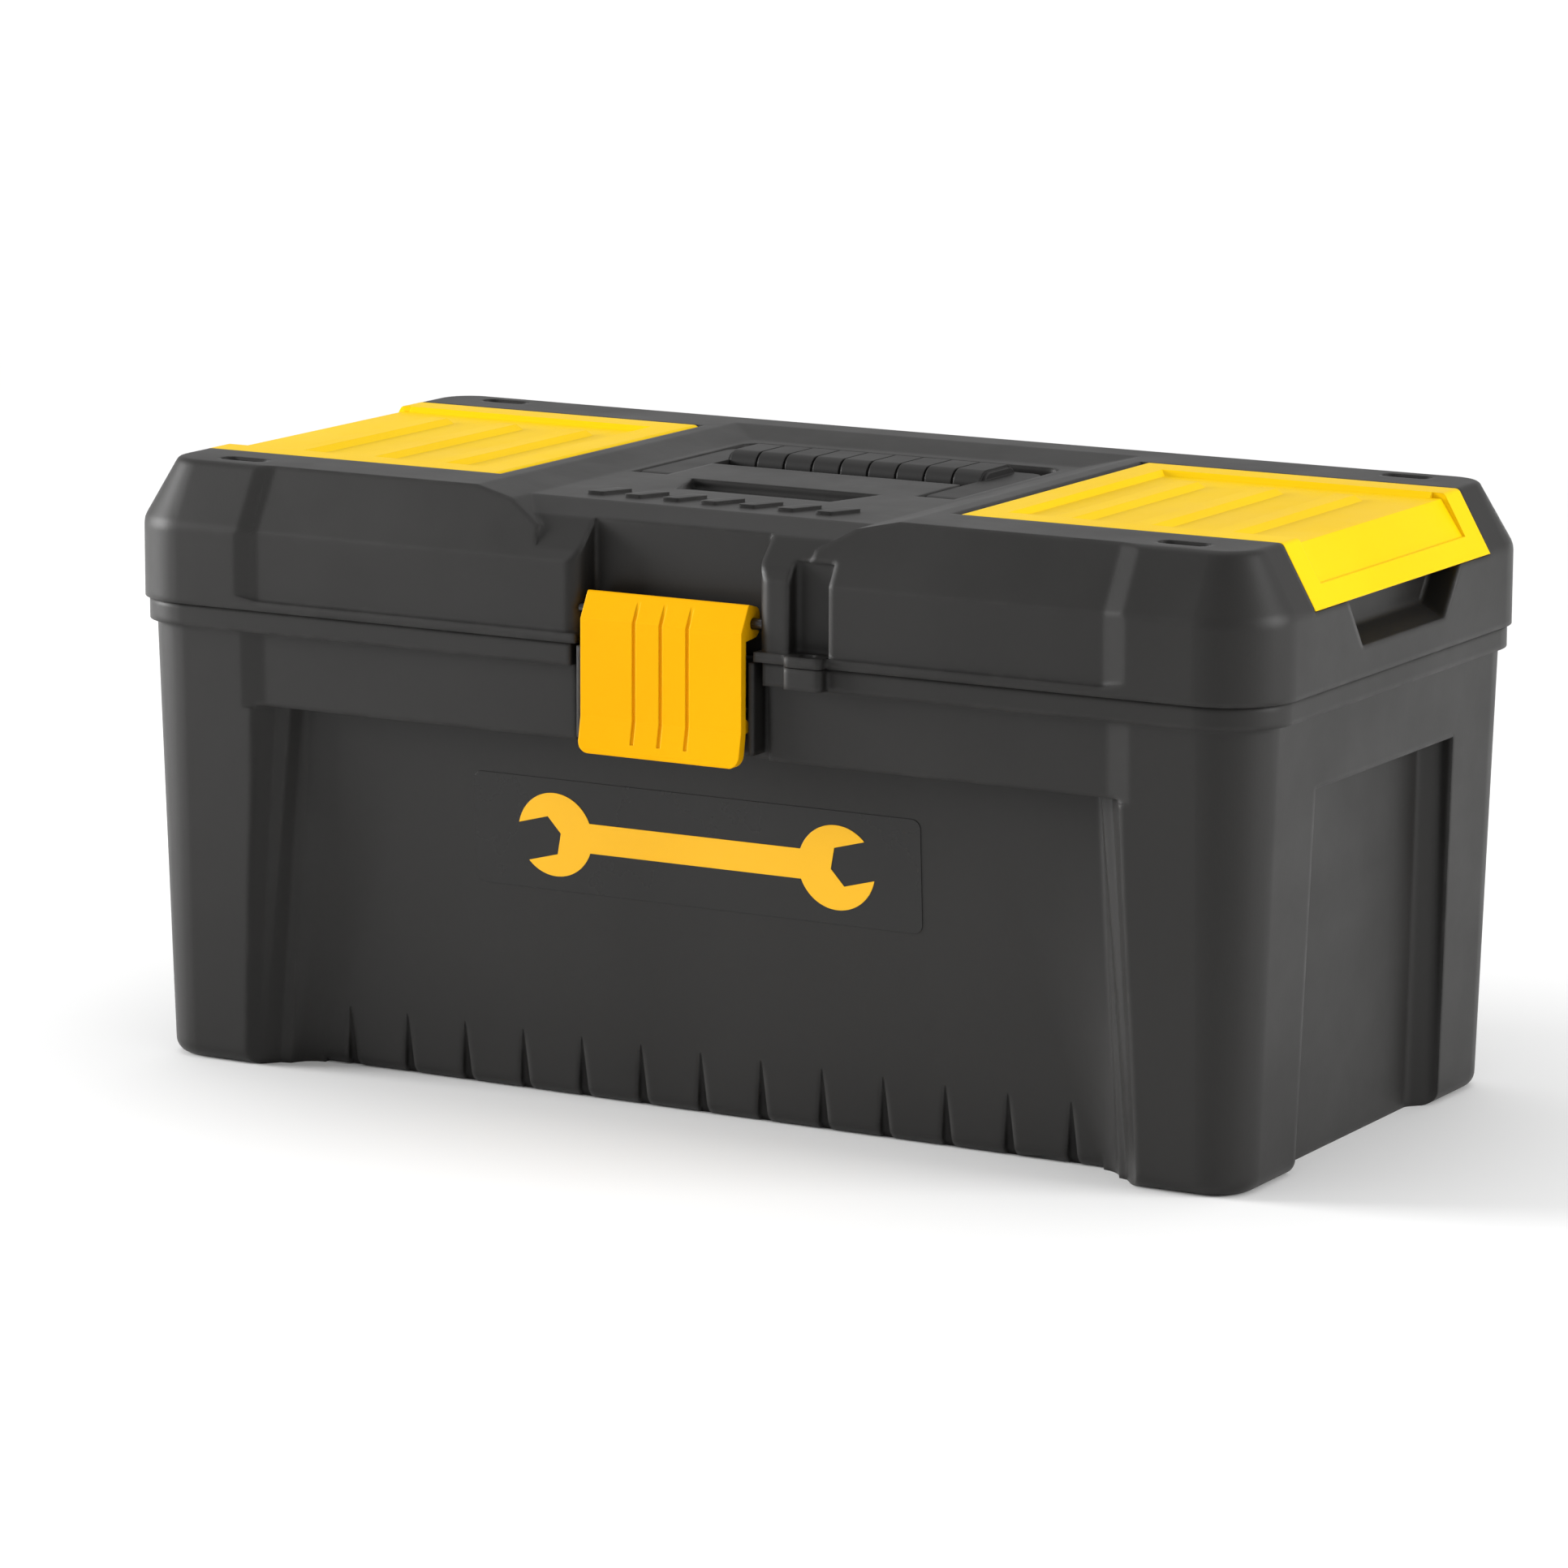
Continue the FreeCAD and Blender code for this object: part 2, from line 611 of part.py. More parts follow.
def lidHollows(grow):
    """What is sunk into the lid from outside, grown by a wall for the lid's own hollow."""
    tag = "Inner" if grow != "0" else "Outer"
    wide = "(%s)" % grow
    slope = "(boxTop - shoulderZ) * tan(lidSlope)"
    middleSide = [
        ("-(rimHalfDepth + 15)", "%s + beadHeight" % lidLow),
        ("-(rimHalfDepth - midSink - %s)" % wide, "%s + beadHeight" % lidLow),
        ("-(rimHalfDepth - midSink - %s)" % wide, "shoulderZ - %s * 0.3" % wide),
        ("-(rimHalfDepth - midSink - %s - %s)" % (wide, slope), "boxTop - %s * 0.3" % wide),
        ("-(rimHalfDepth - midSink - %s)" % slope, "boxTop + 5"),
        ("-(rimHalfDepth + 15)", "boxTop + 5"),
    ]
    middle = prism("midFront" + tag, "YZ", "-(midHalfWidth + %s)" % wide, "midHalfWidth + %s" % wide,
                   middleSide)
    dishAlong = prism("dishAlong" + tag, "YZ", "-(dishTopX + 20)", "dishTopX + 20", [
        ("-(rimHalfDepth + 8)", "shoulderZ - %s" % wide),
        ("-(rimHalfDepth - %s * 0.5)" % wide, "shoulderZ - %s" % wide),
        ("-(browY - %s * 0.4)" % wide, "boxTop - browDrop - %s" % wide),
        ("-(dishFrontY - %s * 0.2)" % wide, "%s - %s" % (dishFloor, wide)),
        ("dishRearY + %s * 0.2" % wide, "%s - %s" % (dishFloor, wide)),
        ("dishRearY + dishTopX - dishLowX + %s" % wide, "boxTop - %s" % wide),
        ("dishRearY + dishTopX - dishLowX + %s" % wide, "boxTop + 5"),
        ("-(rimHalfDepth + 8)", "boxTop + 5"),
    ])
    dishAcross = prism("dishAcross" + tag, "XZ", "-(rimHalfDepth + 9)", "rimHalfDepth", pair([
        ("dishTopX + %s" % wide, "boxTop + 6"),
        ("dishTopX + %s" % wide, "boxTop - %s" % wide),
        ("dishLowX + %s * 0.2" % wide, "%s - %s" % (dishFloor, wide)),
        ("dishLowX - 12 + %s * 0.5" % wide, "%s - 7 - %s" % (dishFloor, wide)),
        ("dishLowX - 15 + %s" % wide, "shoulderZ - 6 - %s" % wide),
    ]))
    dish = common("dish" + tag, [dishAlong, dishAcross])
    recess = block("latchRecess" + tag,
                   ("-(recessHalfWidth + %s)" % wide, "recessHalfWidth + %s" % wide),
                   ("-(rimHalfDepth + 10)", "-(recessY - %s)" % wide),
                   ("baseTop - 5", "boxTop - 1"))
    groove = prism("eyeGroove" + tag, "XY", "baseTop - 1" if grow != "0" else "%s + eyeRise" % lidLow,
                   "grooveTop + %s" % wide, [
        ("eyeX - grooveHalfWidth - %s" % wide, "-(rimHalfDepth + 10)"),
        ("eyeX - grooveHalfWidth - %s" % wide, "-(grooveY - %s)" % wide, "1.5"),
        ("eyeX + grooveHalfWidth + %s" % wide, "-(grooveY - %s)" % wide, "1.5"),
        ("eyeX + grooveHalfWidth + %s" % wide, "-(rimHalfDepth + 10)"),
    ])
    well = prism("gripWell" + tag, "XY", "wellFloor - %s" % wide, "boxTop + 1", [
        ("-(armOuter + 0.8 + %s)" % wide, "wellFrontY - %s" % wide),
        ("armOuter + 0.8 + %s" % wide, "wellFrontY - %s" % wide),
        ("armOuter + 0.8 + %s" % wide, "wellRearY + %s" % wide, "6"),
        ("-(armOuter + 0.8 + %s)" % wide, "wellRearY + %s" % wide, "6"),
    ])
    armWell = block("armWell" + tag, ("armInner - 0.8 - %s" % wide, "armOuter + 0.8 + %s" % wide),
                    ("-(pivotY + armRadius + 0.8 + %s)" % wide, "wellFrontY + 2"),
                    ("armWellFloor - %s" % wide, "boxTop + 1"))
    cutters = [middle, mirror("midRear" + tag, middle, FreeCAD.Vector(0, 1, 0)), dish, recess, groove, well] \
        + bothSides("leftArmWell" + tag, armWell)
    if grow == "0":
        ramp = prism("midRamp", "YZ", "midHalfWidth", "midHalfWidth + midBlend + 0.4", middleSide,
                     "-midBlendSlope")
        ramps = bothSides("leftMidRamp", ramp)
        cutters += ramps + [mirror("rearMidRamp%d" % spot, piece, FreeCAD.Vector(0, 1, 0))
                            for spot, piece in enumerate(ramps, start=1)]
        cutters.append(prism("recessMouth", "XY", "%s + beadHeight" % lidLow, "boxTop - 1", pair([
            ("recessHalfWidth + recessRound", "-(rimHalfDepth + 10)"),
            ("recessHalfWidth + recessRound", "-(rimHalfDepth - midSink + 0.02)"),
            ("recessHalfWidth", "-(rimHalfDepth - midSink + 0.02)", "recessRound - 0.1"),
            ("recessHalfWidth", "-(rimHalfDepth - midSink - recessRound - 1)"),
        ])))
    return cutters


def flapOutline(gap, under):
    """Side view of a flap's seat: along the top, over the bend and down the sloping end."""
    return [
        ("flapInnerX - %s" % gap, "boxTop + 1"),
        ("flapInnerX - %s" % gap, "boxTop - %s" % under),
        ("%s - %s * 0.55" % (lidTopX, under), "boxTop - %s" % under),
        ("%s - %s" % (flapLipX, under), "%s - %s" % (flapLipZ, gap)),
        ("rimHalfLength + 4", "%s - %s" % (flapLipZ, gap)),
        ("rimHalfLength + 4", "boxTop + 1"),
    ]


def lidEnd():
    """Cutters for one end of the lid: flap seat, bin, finger grip and hinge bores."""
    seat = prism("flapSeat", "XZ", "-(flapHalfWidth + gap)", "flapHalfWidth + gap",
                 flapOutline("gap", "(flapThick + 1.5 * gap)"))
    beadRoom = rod("flapBeadRoom", "y", "-(flapHalfWidth + gap)", "flapHalfWidth + gap",
                   (flapPinX, flapPinZ), "flapBeadRadius + gap")
    binHollow = prism("binHollow", "XY", "binFloor", "boxTop - 1", [
        ("binInnerX", "-binHalfWidth", "4"),
        ("binOuterX", "-binHalfWidth", "4"),
        ("binOuterX", "binHalfWidth", "4"),
        ("binInnerX", "binHalfWidth", "4"),
    ])
    grip = common("fingerGrip", [
        prism("gripFace", "YZ", "rimHalfLength - gripDepth", "rimHalfLength + 5", [
            ("-gripTopHalf", flapLipZ),
            ("-gripLowHalf", "gripLowZ", "2"),
            ("gripLowHalf", "gripLowZ", "2"),
            ("gripTopHalf", flapLipZ),
        ]),
        prism("gripFloor", "XZ", "-gripTopHalf - 5", "gripTopHalf + 5", [
            ("rimHalfLength - gripDepth", "%s + 2" % flapLipZ),
            ("rimHalfLength - gripDepth", "gripLowZ + 4", "2"),
            ("rimHalfLength + 1", "gripLowZ - 1"),
            ("rimHalfLength + 6", "gripLowZ - 1"),
            ("rimHalfLength + 6", "%s + 2" % flapLipZ),
        ]),
    ])
    bores = [rod("flapBore" + tag, "y", low, high, (flapPinX, flapPinZ), "flapPinRadius")
             for tag, low, high in (
                 ("Front", "-(flapHalfWidth + gap + flapPinLength / 2)", "-flapHalfWidth"),
                 ("Rear", "flapHalfWidth", "flapHalfWidth + gap + flapPinLength / 2"))]
    chamfer = prism("seatChamfer", "XZ", "-(flapHalfWidth + gap)", "flapHalfWidth + gap", [
        ("flapInnerX - gap - 1.2", "boxTop + 0.01"),
        ("flapInnerX - gap + 0.1", "boxTop - 1.3"),
        ("flapInnerX - gap + 0.1", "boxTop + 0.01"),
    ])
    return join("lidEndCutters", [seat, beadRoom, binHollow, grip, chamfer] + bores)


def lidOuter(inset, tag):
    """The lid's outer form, or its hollow's form when inset by the wall."""
    sides = ring("rimHalfLength - (%s)" % inset, "rimHalfDepth - (%s)" % inset, "rimRadius - (%s)" % inset)
    low = lidLow if inset == "0" else "%s - 1" % lidLow
    skirt = prism("lidSkirt" + tag, "XY", low, "shoulderZ - (%s) * 0.27" % inset, sides)
    crown = prism("lidCrown" + tag, "XY", "shoulderZ - (%s) * 0.27" % inset, "boxTop - (%s)" % inset, sides,
                  "-lidSlope")
    return join("lidForm" + tag, [skirt, crown])


def badgeBars():
    """A row of plain slanted bars raised on the middle of the lid."""
    bars = []
    for spot in range(badgeBarCount):
        centre = "badgeBarPitch * (%d)" % (spot - (badgeBarCount - 1) // 2)
        low, high = dishFloor + " - 1", dishFloor + " + badgeBarHeight"
        bars.append(prism("badgeBar%d" % (spot + 1), "XY", low, high, [
            ("%s - 5.5" % centre, "-(badgeBarY + 5.5)", "0.8"),
            ("%s + 0.5" % centre, "-(badgeBarY + 5.5)", "0.8"),
            ("%s + 5.5" % centre, "-(badgeBarY - 5.5)", "0.8"),
            ("%s - 0.5" % centre, "-(badgeBarY - 5.5)", "0.8"),
        ]))
    return bars


def makeLid():
    outer = lidOuter("0", "Outer")
    shoulder = soften("lidShoulder", outer, "shoulderRound", flatAt("shoulderZ"))
    crown = soften("lidCrownEdge", shoulder, "lidTopRound", flatAt("boxTop"))

    # material left around each bin, and behind the rear hinges
    binBlock = block("binBlock", ("flapInnerX - wall", "rimHalfLength + 1"),
                     ("-(flapHalfWidth + wall)", "flapHalfWidth + wall"),
                     ("binFloor - wall", "boxTop + 1"))
    bossEnd = "flapHalfWidth + flapPinLength / 2 + wall"
    pinBoss = block("pinBoss", ("flapInnerX - wall", "flapInnerX + 2 * flapBeadRadius + wall"),
                    ("-(%s)" % bossEnd, bossEnd),
                    ("boxTop - 10", "boxTop + 1"))
    hingeBacking = block("hingeBacking", ("hingeX - 20", "hingeX + 20"),
                         ("baseHalfDepth - wall + tongueThick + 2 * gap", "rimHalfDepth"),
                         (lidLow, "baseTop + 8"))
    handleBoss = block("handleBoss", ("armInner - 12", "armOuter + 12"),
                       ("-(pivotY + 10)", "wellFrontY"), ("armWellFloor - wall", "boxTop"))
    stepBacking = block("stepBacking", ("-(stepHalfWidth + wall)", "stepHalfWidth + wall"),
                        ("-(stepTopY + stepLength + wall)", "-(stepTopY - wall)"),
                        (dishFloor + " - stepDepth - wall", "boxTop"))
    kept = [stepBacking]
    for name, piece in (("leftBinBlock", binBlock), ("leftPinBoss", pinBoss),
                        ("leftHingeBacking", hingeBacking), ("leftHandleBoss", handleBoss)):
        kept += bothSides(name, piece)
    cavity = remove("lidCavity", lidOuter("wall", "Inner"), lidHollows("wall") + kept)

    cornerSlots = []
    halfLength, halfWidth, rounding = "cornerSlotLength / 2", "cornerSlotWidth / 2", "cornerSlotWidth / 2.1"
    for place, signX, signY in (("FrontRight", "", "-"), ("RearRight", "", ""),
                                ("FrontLeft", "-", "-"), ("RearLeft", "-", "")):
        x, y = signX + "cornerSlotX", signY + "cornerSlotY"
        cornerSlots.append(prism("cornerSlot" + place, "XY", "boxTop - cornerSlotDepth", "boxTop + 1", [
            ("%s - %s" % (x, halfLength), "%s - %s" % (y, halfWidth), rounding),
            ("%s + %s" % (x, halfLength), "%s - %s" % (y, halfWidth), rounding),
            ("%s + %s" % (x, halfLength), "%s + %s" % (y, halfWidth), rounding),
            ("%s - %s" % (x, halfLength), "%s + %s" % (y, halfWidth), rounding),
        ]))
    step = common("thumbStep", [
        prism("thumbStepSide", "YZ", "-stepHalfWidth", "stepHalfWidth", [
            ("-stepTopY", dishFloor + " + 1"),
            ("-stepTopY", dishFloor + " - stepDepth"),
            ("-(stepTopY + stepLength)", dishFloor),
            ("-(stepTopY + stepLength)", dishFloor + " + 1"),
        ]),
        prism("thumbStepPlan", "XY", dishFloor + " - stepDepth - 1", dishFloor + " + 2", pair([
            ("stepHalfWidth", "-(stepTopY - 1)"),
            ("stepHalfWidth", "-stepTopY"),
            ("stepHalfWidth - 7", "-(stepTopY + stepLength)"),
        ])),
    ])
    end = lidEnd()
    opened = remove("lidOpened", crown, [cavity, step] + lidHollows("0") + bothSides("leftLidEndCutters", end)
                    + cornerSlots + hingeRods("earRoom", earRoom, "barrelRadius + gap"))
    eye = prism("lidEye", "XY", lidLow, "%s + eyeRise" % lidLow, [
        ("eyeX - eyeHalfWidth", "-(grooveY - 1)"),
        ("eyeX - eyeHalfWidth", "-eyeReach", "1.8"),
        ("eyeX + eyeHalfWidth", "-eyeReach", "1.8"),
        ("eyeX + eyeHalfWidth", "-(grooveY - 1)"),
    ])
    whole = join("lidWhole", [opened, eye] + badgeBars()
                 + hingeRods("lidKnuckle", knuckleSpan, "barrelRadius")
                 + hingeWebs("knuckleWeb", knuckleSpan, lidLow, "baseTop + barrelRadius"))
    eyeHole = rod("lidEyeHole", "z", "baseTop - 2", "%s + eyeRise + 1" % lidLow,
                  ("eyeX", "-eyeY"), "eyeRadius")
    boreEnd = "recessHalfWidth + latchSeatDepth"
    latchBore = rod("latchBore", "x", "-(%s)" % boreEnd, boreEnd,
                    ("-latchPivotY", "latchPivotZ"), "latchPinRadius")
    handleBore = rod("handleBore", "x", "armInner - 0.8 - handlePinSeat", "armOuter + 0.8 + handlePinSeat",
                     ("-pivotY", "pivotZ"), "handlePinRadius")
    return remove("lid_shell", whole, [eyeHole, latchBore] + bothSides("leftHandleBore", handleBore)
                  + hingeRods("knuckleBore", knuckleSpan, "hingePinRadius + runClear"))


# ---------------------------------------------------------------- part-design pieces

def newBody(label):
    body = doc.addObject("PartDesign::Body", label)
    body.Label = label
    return body


def bodySketch(body, name, role, corners, level="0"):
    """A sketch on one of the body's own origin planes, lifted along that plane's normal."""
    sketch = body.newObject("Sketcher::SketchObject", name)
    plane = next(item for item in body.Origin.OriginFeatures if item.Role == role)
    sketch.AttachmentSupport = [(plane, "")]
    sketch.MapMode = "FlatFace"
    bind(sketch, "AttachmentOffset.Base.z", level)
    fillOutline(sketch, corners)
    return sketch


def pad(body, name, sketch, length, both=True):
    feature = body.newObject("PartDesign::Pad", name)
    feature.Profile = sketch
    bind(feature, "Length", length)
    feature.Midplane = both
    doc.recompute()
    return feature


def pocket(body, name, sketch, length, both=True, back=False):
    before = body.Shape.Volume
    feature = body.newObject("PartDesign::Pocket", name)
    feature.Profile = sketch
    bind(feature, "Length", length)
    feature.Midplane = both
    feature.Reversed = back
    doc.recompute()
    if body.Shape.Volume > before - 0.01:
        raise RuntimeError(name + " removes nothing")
    return feature


def hole(body, name, role, centre, radius, length, level="0"):
    """A round through hole as a pocket about the sketch plane."""
    sketch = body.newObject("Sketcher::SketchObject", name + "Sketch")
    plane = next(item for item in body.Origin.OriginFeatures if item.Role == role)
    sketch.AttachmentSupport = [(plane, "")]
    sketch.MapMode = "FlatFace"
    bind(sketch, "AttachmentOffset.Base.z", level)
    spot = FreeCAD.Vector(number(centre[0]), number(centre[1]), 0)
    sketch.addGeometry(Part.Circle(spot, FreeCAD.Vector(0, 0, 1), number(radius)), False)
    for kind, text in (("DistanceX", centre[0]), ("DistanceY", centre[1])):
        rule = sketch.addConstraint(Sketcher.Constraint(kind, -1, 1, 0, 3, number(text)))
        bind(sketch, "Constraints[%d]" % rule, text)
    rule = sketch.addConstraint(Sketcher.Constraint("Radius", 0, number(radius)))
    bind(sketch, "Constraints[%d]" % rule, radius)
    return pocket(body, name, sketch, length)


def makeHandle():
    """Two arms and a ribbed grip, in one moulding."""
    body = newBody("carry_handle")
    arms = bodySketch(body, "armsPlan", "XY_Plane", pair([
        ("armOuter", "-(pivotY + armRadius)"),
        ("armOuter", "barRearY", "5"),
    ])[:2] + [("-armOuter", "barRearY", "5"), ("-armOuter", "-(pivotY + armRadius)"),
              ("-armInner", "-(pivotY + armRadius)"), ("-armInner", "barFrontY + 3", "4"),
              ("armInner", "barFrontY + 3", "4"), ("armInner", "-(pivotY + armRadius)")],
        "pivotZ - armRadius")
    pad(body, "arms", arms, "2 * armRadius", False)
    nose = bodySketch(body, "armNose", "YZ_Plane", [
        ("-(pivotY + armRadius + 5)", "pivotZ - armRadius - 5"),
        ("-(pivotY + armRadius + 5)", "pivotZ + armRadius + 5"),
        ("-(pivotY)", "pivotZ + armRadius + 5"),
        ("-(pivotY)", "pivotZ + armRadius"),
        ("-(pivotY + armRadius)", "pivotZ + armRadius", "armRadius * 0.98"),
        ("-(pivotY + armRadius)", "pivotZ - armRadius", "armRadius * 0.98"),
        ("-(pivotY)", "pivotZ - armRadius"),
        ("-(pivotY)", "pivotZ - armRadius - 5"),
    ])
    pocket(body, "roundNose", nose, "2 * armOuter + 4")
    core = bodySketch(body, "gripCore", "YZ_Plane", [
        ("barFrontY + ringSink", "barLow + ringSink", "barRound"),
        ("barRearY - ringSink", "barLow + ringSink", "barRound"),
        ("barRearY - ringSink", "barTop - ringSink", "barRound"),
        ("barFrontY + ringSink", "barTop - ringSink", "barRound"),
    ])
    pad(body, "core", core, "2 * armInner + 2")
    for spot in range(ringCount):
        offset = "ringPitch * (%d) - (ringPitch - ringGroove) / 2" % (spot - (ringCount - 1) // 2)
        segment = bodySketch(body, "ring%dOutline" % (spot + 1), "YZ_Plane", [
            ("barFrontY", "barLow", "barRound"),
            ("barRearY", "barLow", "barRound"),
            ("barRearY", "barTop", "barRound"),
            ("barFrontY", "barTop", "barRound"),
        ], offset)
        pad(body, "ring%d" % (spot + 1), segment, "ringPitch - ringGroove", False)
    hole(body, "pivotHole", "YZ_Plane", ("-pivotY", "pivotZ"), "handlePinRadius + runClear",
         "2 * armOuter + 4")
    return body


def makeLatch():
    """The front latch: a bent plate with side flanges and a snap tooth."""
    body = newBody("front_latch")
    face, thick = "latchFaceY", "latchThick"
    outline = [
        ("-(%s - 4.6)" % face, "latchPivotZ + 6.2", "1"),
        ("-%s" % face, "latchPivotZ - 2.2"),
        ("-%s" % face, "latchLow + 11.2"),
        ("-frontReach", "latchLow + 1.8", "1.2"),
        ("-frontReach", "latchLow", "0.6"),
        ("-(frontReach - %s)" % thick, "latchLow", "0.6"),
        ("-(%s - %s)" % (face, thick), "latchLow + 10.6"),
        ("-(bayY + keeperReach + gap + 0.1)", "latchLow + 11", "0.5"),
        ("-(bayY + keeperReach + gap + 0.1)", "latchLow + 12.8", "0.5"),
        ("-(%s - %s)" % (face, thick), "latchLow + 15"),
        ("-(%s - %s)" % (face, thick), "latchPivotZ - 5"),
        ("-(latchPivotY - 4.2)", "latchPivotZ - 4.2", "3.5"),
        ("-(latchPivotY - 4.2)", "latchPivotZ + 4.4", "3.5"),
    ]
    plate = bodySketch(body, "latchProfile", "YZ_Plane", outline)
    pad(body, "plate", plate, "2 * latchHalfWidth")
    middle = bodySketch(body, "latchHollow", "YZ_Plane", [
        ("-(%s - %s)" % (face, thick), "latchPivotZ + 1"),
        ("-(%s - %s)" % (face, thick), "latchPivotZ - 20"),
        ("-(latchPivotY - 8)", "latchPivotZ - 20"),
        ("-(latchPivotY - 8)", "latchPivotZ + 12"),
        ("-(latchPivotY + 1)", "latchPivotZ + 3.4", "1"),
    ])
    pocket(body, "hollow", middle, "2 * (latchHalfWidth - 5)")
    corners = bodySketch(body, "latchCorners", "XZ_Plane", [
        ("latchHalfWidth + 3", "latchLow - 3"),
        ("latchHalfWidth + 3", "latchLow + 9"),
        ("latchHalfWidth", "latchLow + 9"),
        ("latchHalfWidth", "latchLow", "4"),
        ("latchHalfWidth - 9", "latchLow"),
        ("latchHalfWidth - 9", "latchLow - 3"),
    ])
    pocket(body, "rightCorner", corners, "4 * frontReach")
    otherCorners = bodySketch(body, "latchCornersLeft", "XZ_Plane", [
        ("-(latchHalfWidth + 3)", "latchLow - 3"),
        ("-(latchHalfWidth + 3)", "latchLow + 9"),
        ("-latchHalfWidth", "latchLow + 9"),
        ("-latchHalfWidth", "latchLow", "4"),
        ("-(latchHalfWidth - 9)", "latchLow"),
        ("-(latchHalfWidth - 9)", "latchLow - 3"),
    ])
    pocket(body, "leftCorner", otherCorners, "4 * frontReach")
    for spot, middleX in enumerate(("-9.5", "0", "9.5"), start=1):
        groove = bodySketch(body, "latchGroove%d" % spot, "YZ_Plane", [
            ("-(%s - 4.6 - 0.5)" % face, "latchPivotZ + 8"),
            ("-(%s - 0.7)" % face, "latchPivotZ - 2.3"),
            ("-(%s - 0.7)" % face, "latchLow + 11"),
            ("-(%s + 0.9)" % face, "latchLow + 4"),
            ("-(%s + 6)" % face, "latchLow + 4"),
            ("-(%s + 6)" % face, "latchPivotZ + 8"),
        ], middleX + " - 0.6")
        pocket(body, "groove%d" % spot, groove, "1.2", False, True)
    hole(body, "pivotHole", "YZ_Plane", ("-latchPivotY", "latchPivotZ"), "latchPinRadius + runClear",
         "2 * latchHalfWidth + 4")
    return body


def makeFlap(label, sign):
    """One bin's flap: a ribbed plate over the top, bent down the lid's sloping end."""
    tag = "Right" if sign == "" else "Left"
    plate = prism("flapPlate" + tag, "XZ", "-flapHalfWidth", "flapHalfWidth", [
        ("%s" % flapPinX, "boxTop"),
        ("%s" % lidTopX, "boxTop", "2"),
        (flapLipX, flapLipZ),
        ("%s - flapThick" % flapLipX, flapLipZ),
        ("%s - flapThick * 0.55" % lidTopX, "boxTop - flapThick", "1"),
        ("%s" % flapPinX, "boxTop - flapThick"),
    ])
    bead = rod("flapBead" + tag, "y", "-flapHalfWidth", "flapHalfWidth", (flapPinX, flapPinZ),
               "flapBeadRadius")
    rough = join("flapRough" + tag, [plate, bead])
    plan = prism("flapPlan" + tag, "XY", "%s - 5" % flapLipZ, "boxTop + 5", [
        ("flapInnerX - 1", "-flapHalfWidth"),
        ("rimHalfLength + 2", "-flapHalfWidth"),
        ("rimHalfLength + 2", "flapHalfWidth"),
        ("flapInnerX - 1", "flapHalfWidth"),
    ])
    trimmed = common("flapTrimmed" + tag, [rough, plan])
    # the sunk field has sloping edges all round and follows the bend down the end
    field = prism("flapField" + tag, "XZ", "-(flapHalfWidth - 2)", "flapHalfWidth - 2", [
        ("flapInnerX + flapBorder", "boxTop + 1"),
        ("flapInnerX + flapBorder + 1.6 * flapSink", "boxTop - flapSink"),
        ("%s - flapSink * 0.55" % lidTopX, "boxTop - flapSink"),
        ("%s - 0.5 * flapLowBorder - flapSink" % flapLipX, "%s + flapLowBorder + 0.6" % flapLipZ),
        ("%s + 3" % flapLipX, "%s + flapLowBorder" % flapLipZ),
        ("%s + 3" % flapLipX, "boxTop + 1"),
    ])
    edgeHalf = "flapHalfWidth - flapBorder"
    fieldPlan = prism("flapFieldPlan" + tag, "YZ", "flapInnerX", "rimHalfLength + 4", [
        ("-(%s - flapSink)" % edgeHalf, "boxTop - flapSink"),
        ("%s - flapSink" % edgeHalf, "boxTop - flapSink"),
        ("%s + 1" % edgeHalf, "boxTop + 1"),
        ("-(%s + 1)" % edgeHalf, "boxTop + 1"),
    ])
    fieldEnd = prism("flapFieldEnd" + tag, "YZ", "%s - 4" % lidTopX, "rimHalfLength + 4", [
        ("-(%s)" % edgeHalf, "%s" % flapLipZ),
        (edgeHalf, "%s" % flapLipZ),
        (edgeHalf, "boxTop - 0.1"),
        ("-(%s)" % edgeHalf, "boxTop - 0.1"),
    ])
    sunk = common("flapSunk" + tag, [field, join("flapFieldReach" + tag, [fieldPlan, fieldEnd])])
    hollowed = remove("flapHollowed" + tag, trimmed, [sunk])
    ribs = []
    for spot in range(3):
        middle = "flapInnerX + flapRibStart + flapRibPitch * %d" % spot
        front, rear = "-(%s + 0.5)" % edgeHalf, "%s - flapRibRearGap" % edgeHalf
        ribs.append(prism("flapRib%s%d" % (tag, spot + 1), "XZ", front, rear, [
            ("%s - 6" % middle, "boxTop - flapSink - 0.1"),
            ("%s - 3" % middle, "boxTop - 0.2"),
            ("%s + 3" % middle, "boxTop - 0.2"),
            ("%s + 6" % middle, "boxTop - flapSink - 0.1"),
        ]))
    ribbed = join("flapRibbed" + tag, [hollowed] + ribs)
    bores = [rod("flapEye%s%s" % (tag, end), "y", low, high, (flapPinX, flapPinZ),
                 "flapPinRadius + runClear")
             for end, low, high in (
                 ("Front", "-(flapHalfWidth + 1)", "-(flapHalfWidth - gap - flapPinLength / 2)"),
                 ("Rear", "flapHalfWidth - gap - flapPinLength / 2", "flapHalfWidth + 1"))]
    right = remove("flapBored" + tag, ribbed, bores)
    if sign == "":
        right.Label = label
        return right
    left = mirror(label, right, FreeCAD.Vector(1, 0, 0))
    return left


def trayDivider(side, sign, grow, high):
    """A cross wall's upright slab, thickened by grow on both faces."""
    edges = ["%s trayDividerX - trayDividerThick / 2 - (%s)" % (sign, grow),
             "%s trayDividerX + trayDividerThick / 2 + (%s)" % (sign, grow)]
    name = "traySlab" + side + ("" if grow == "0" else "Groove")
    return block(name, edges, ("0", "trayRimHalfDepth"), ("trayFloorZ", high))


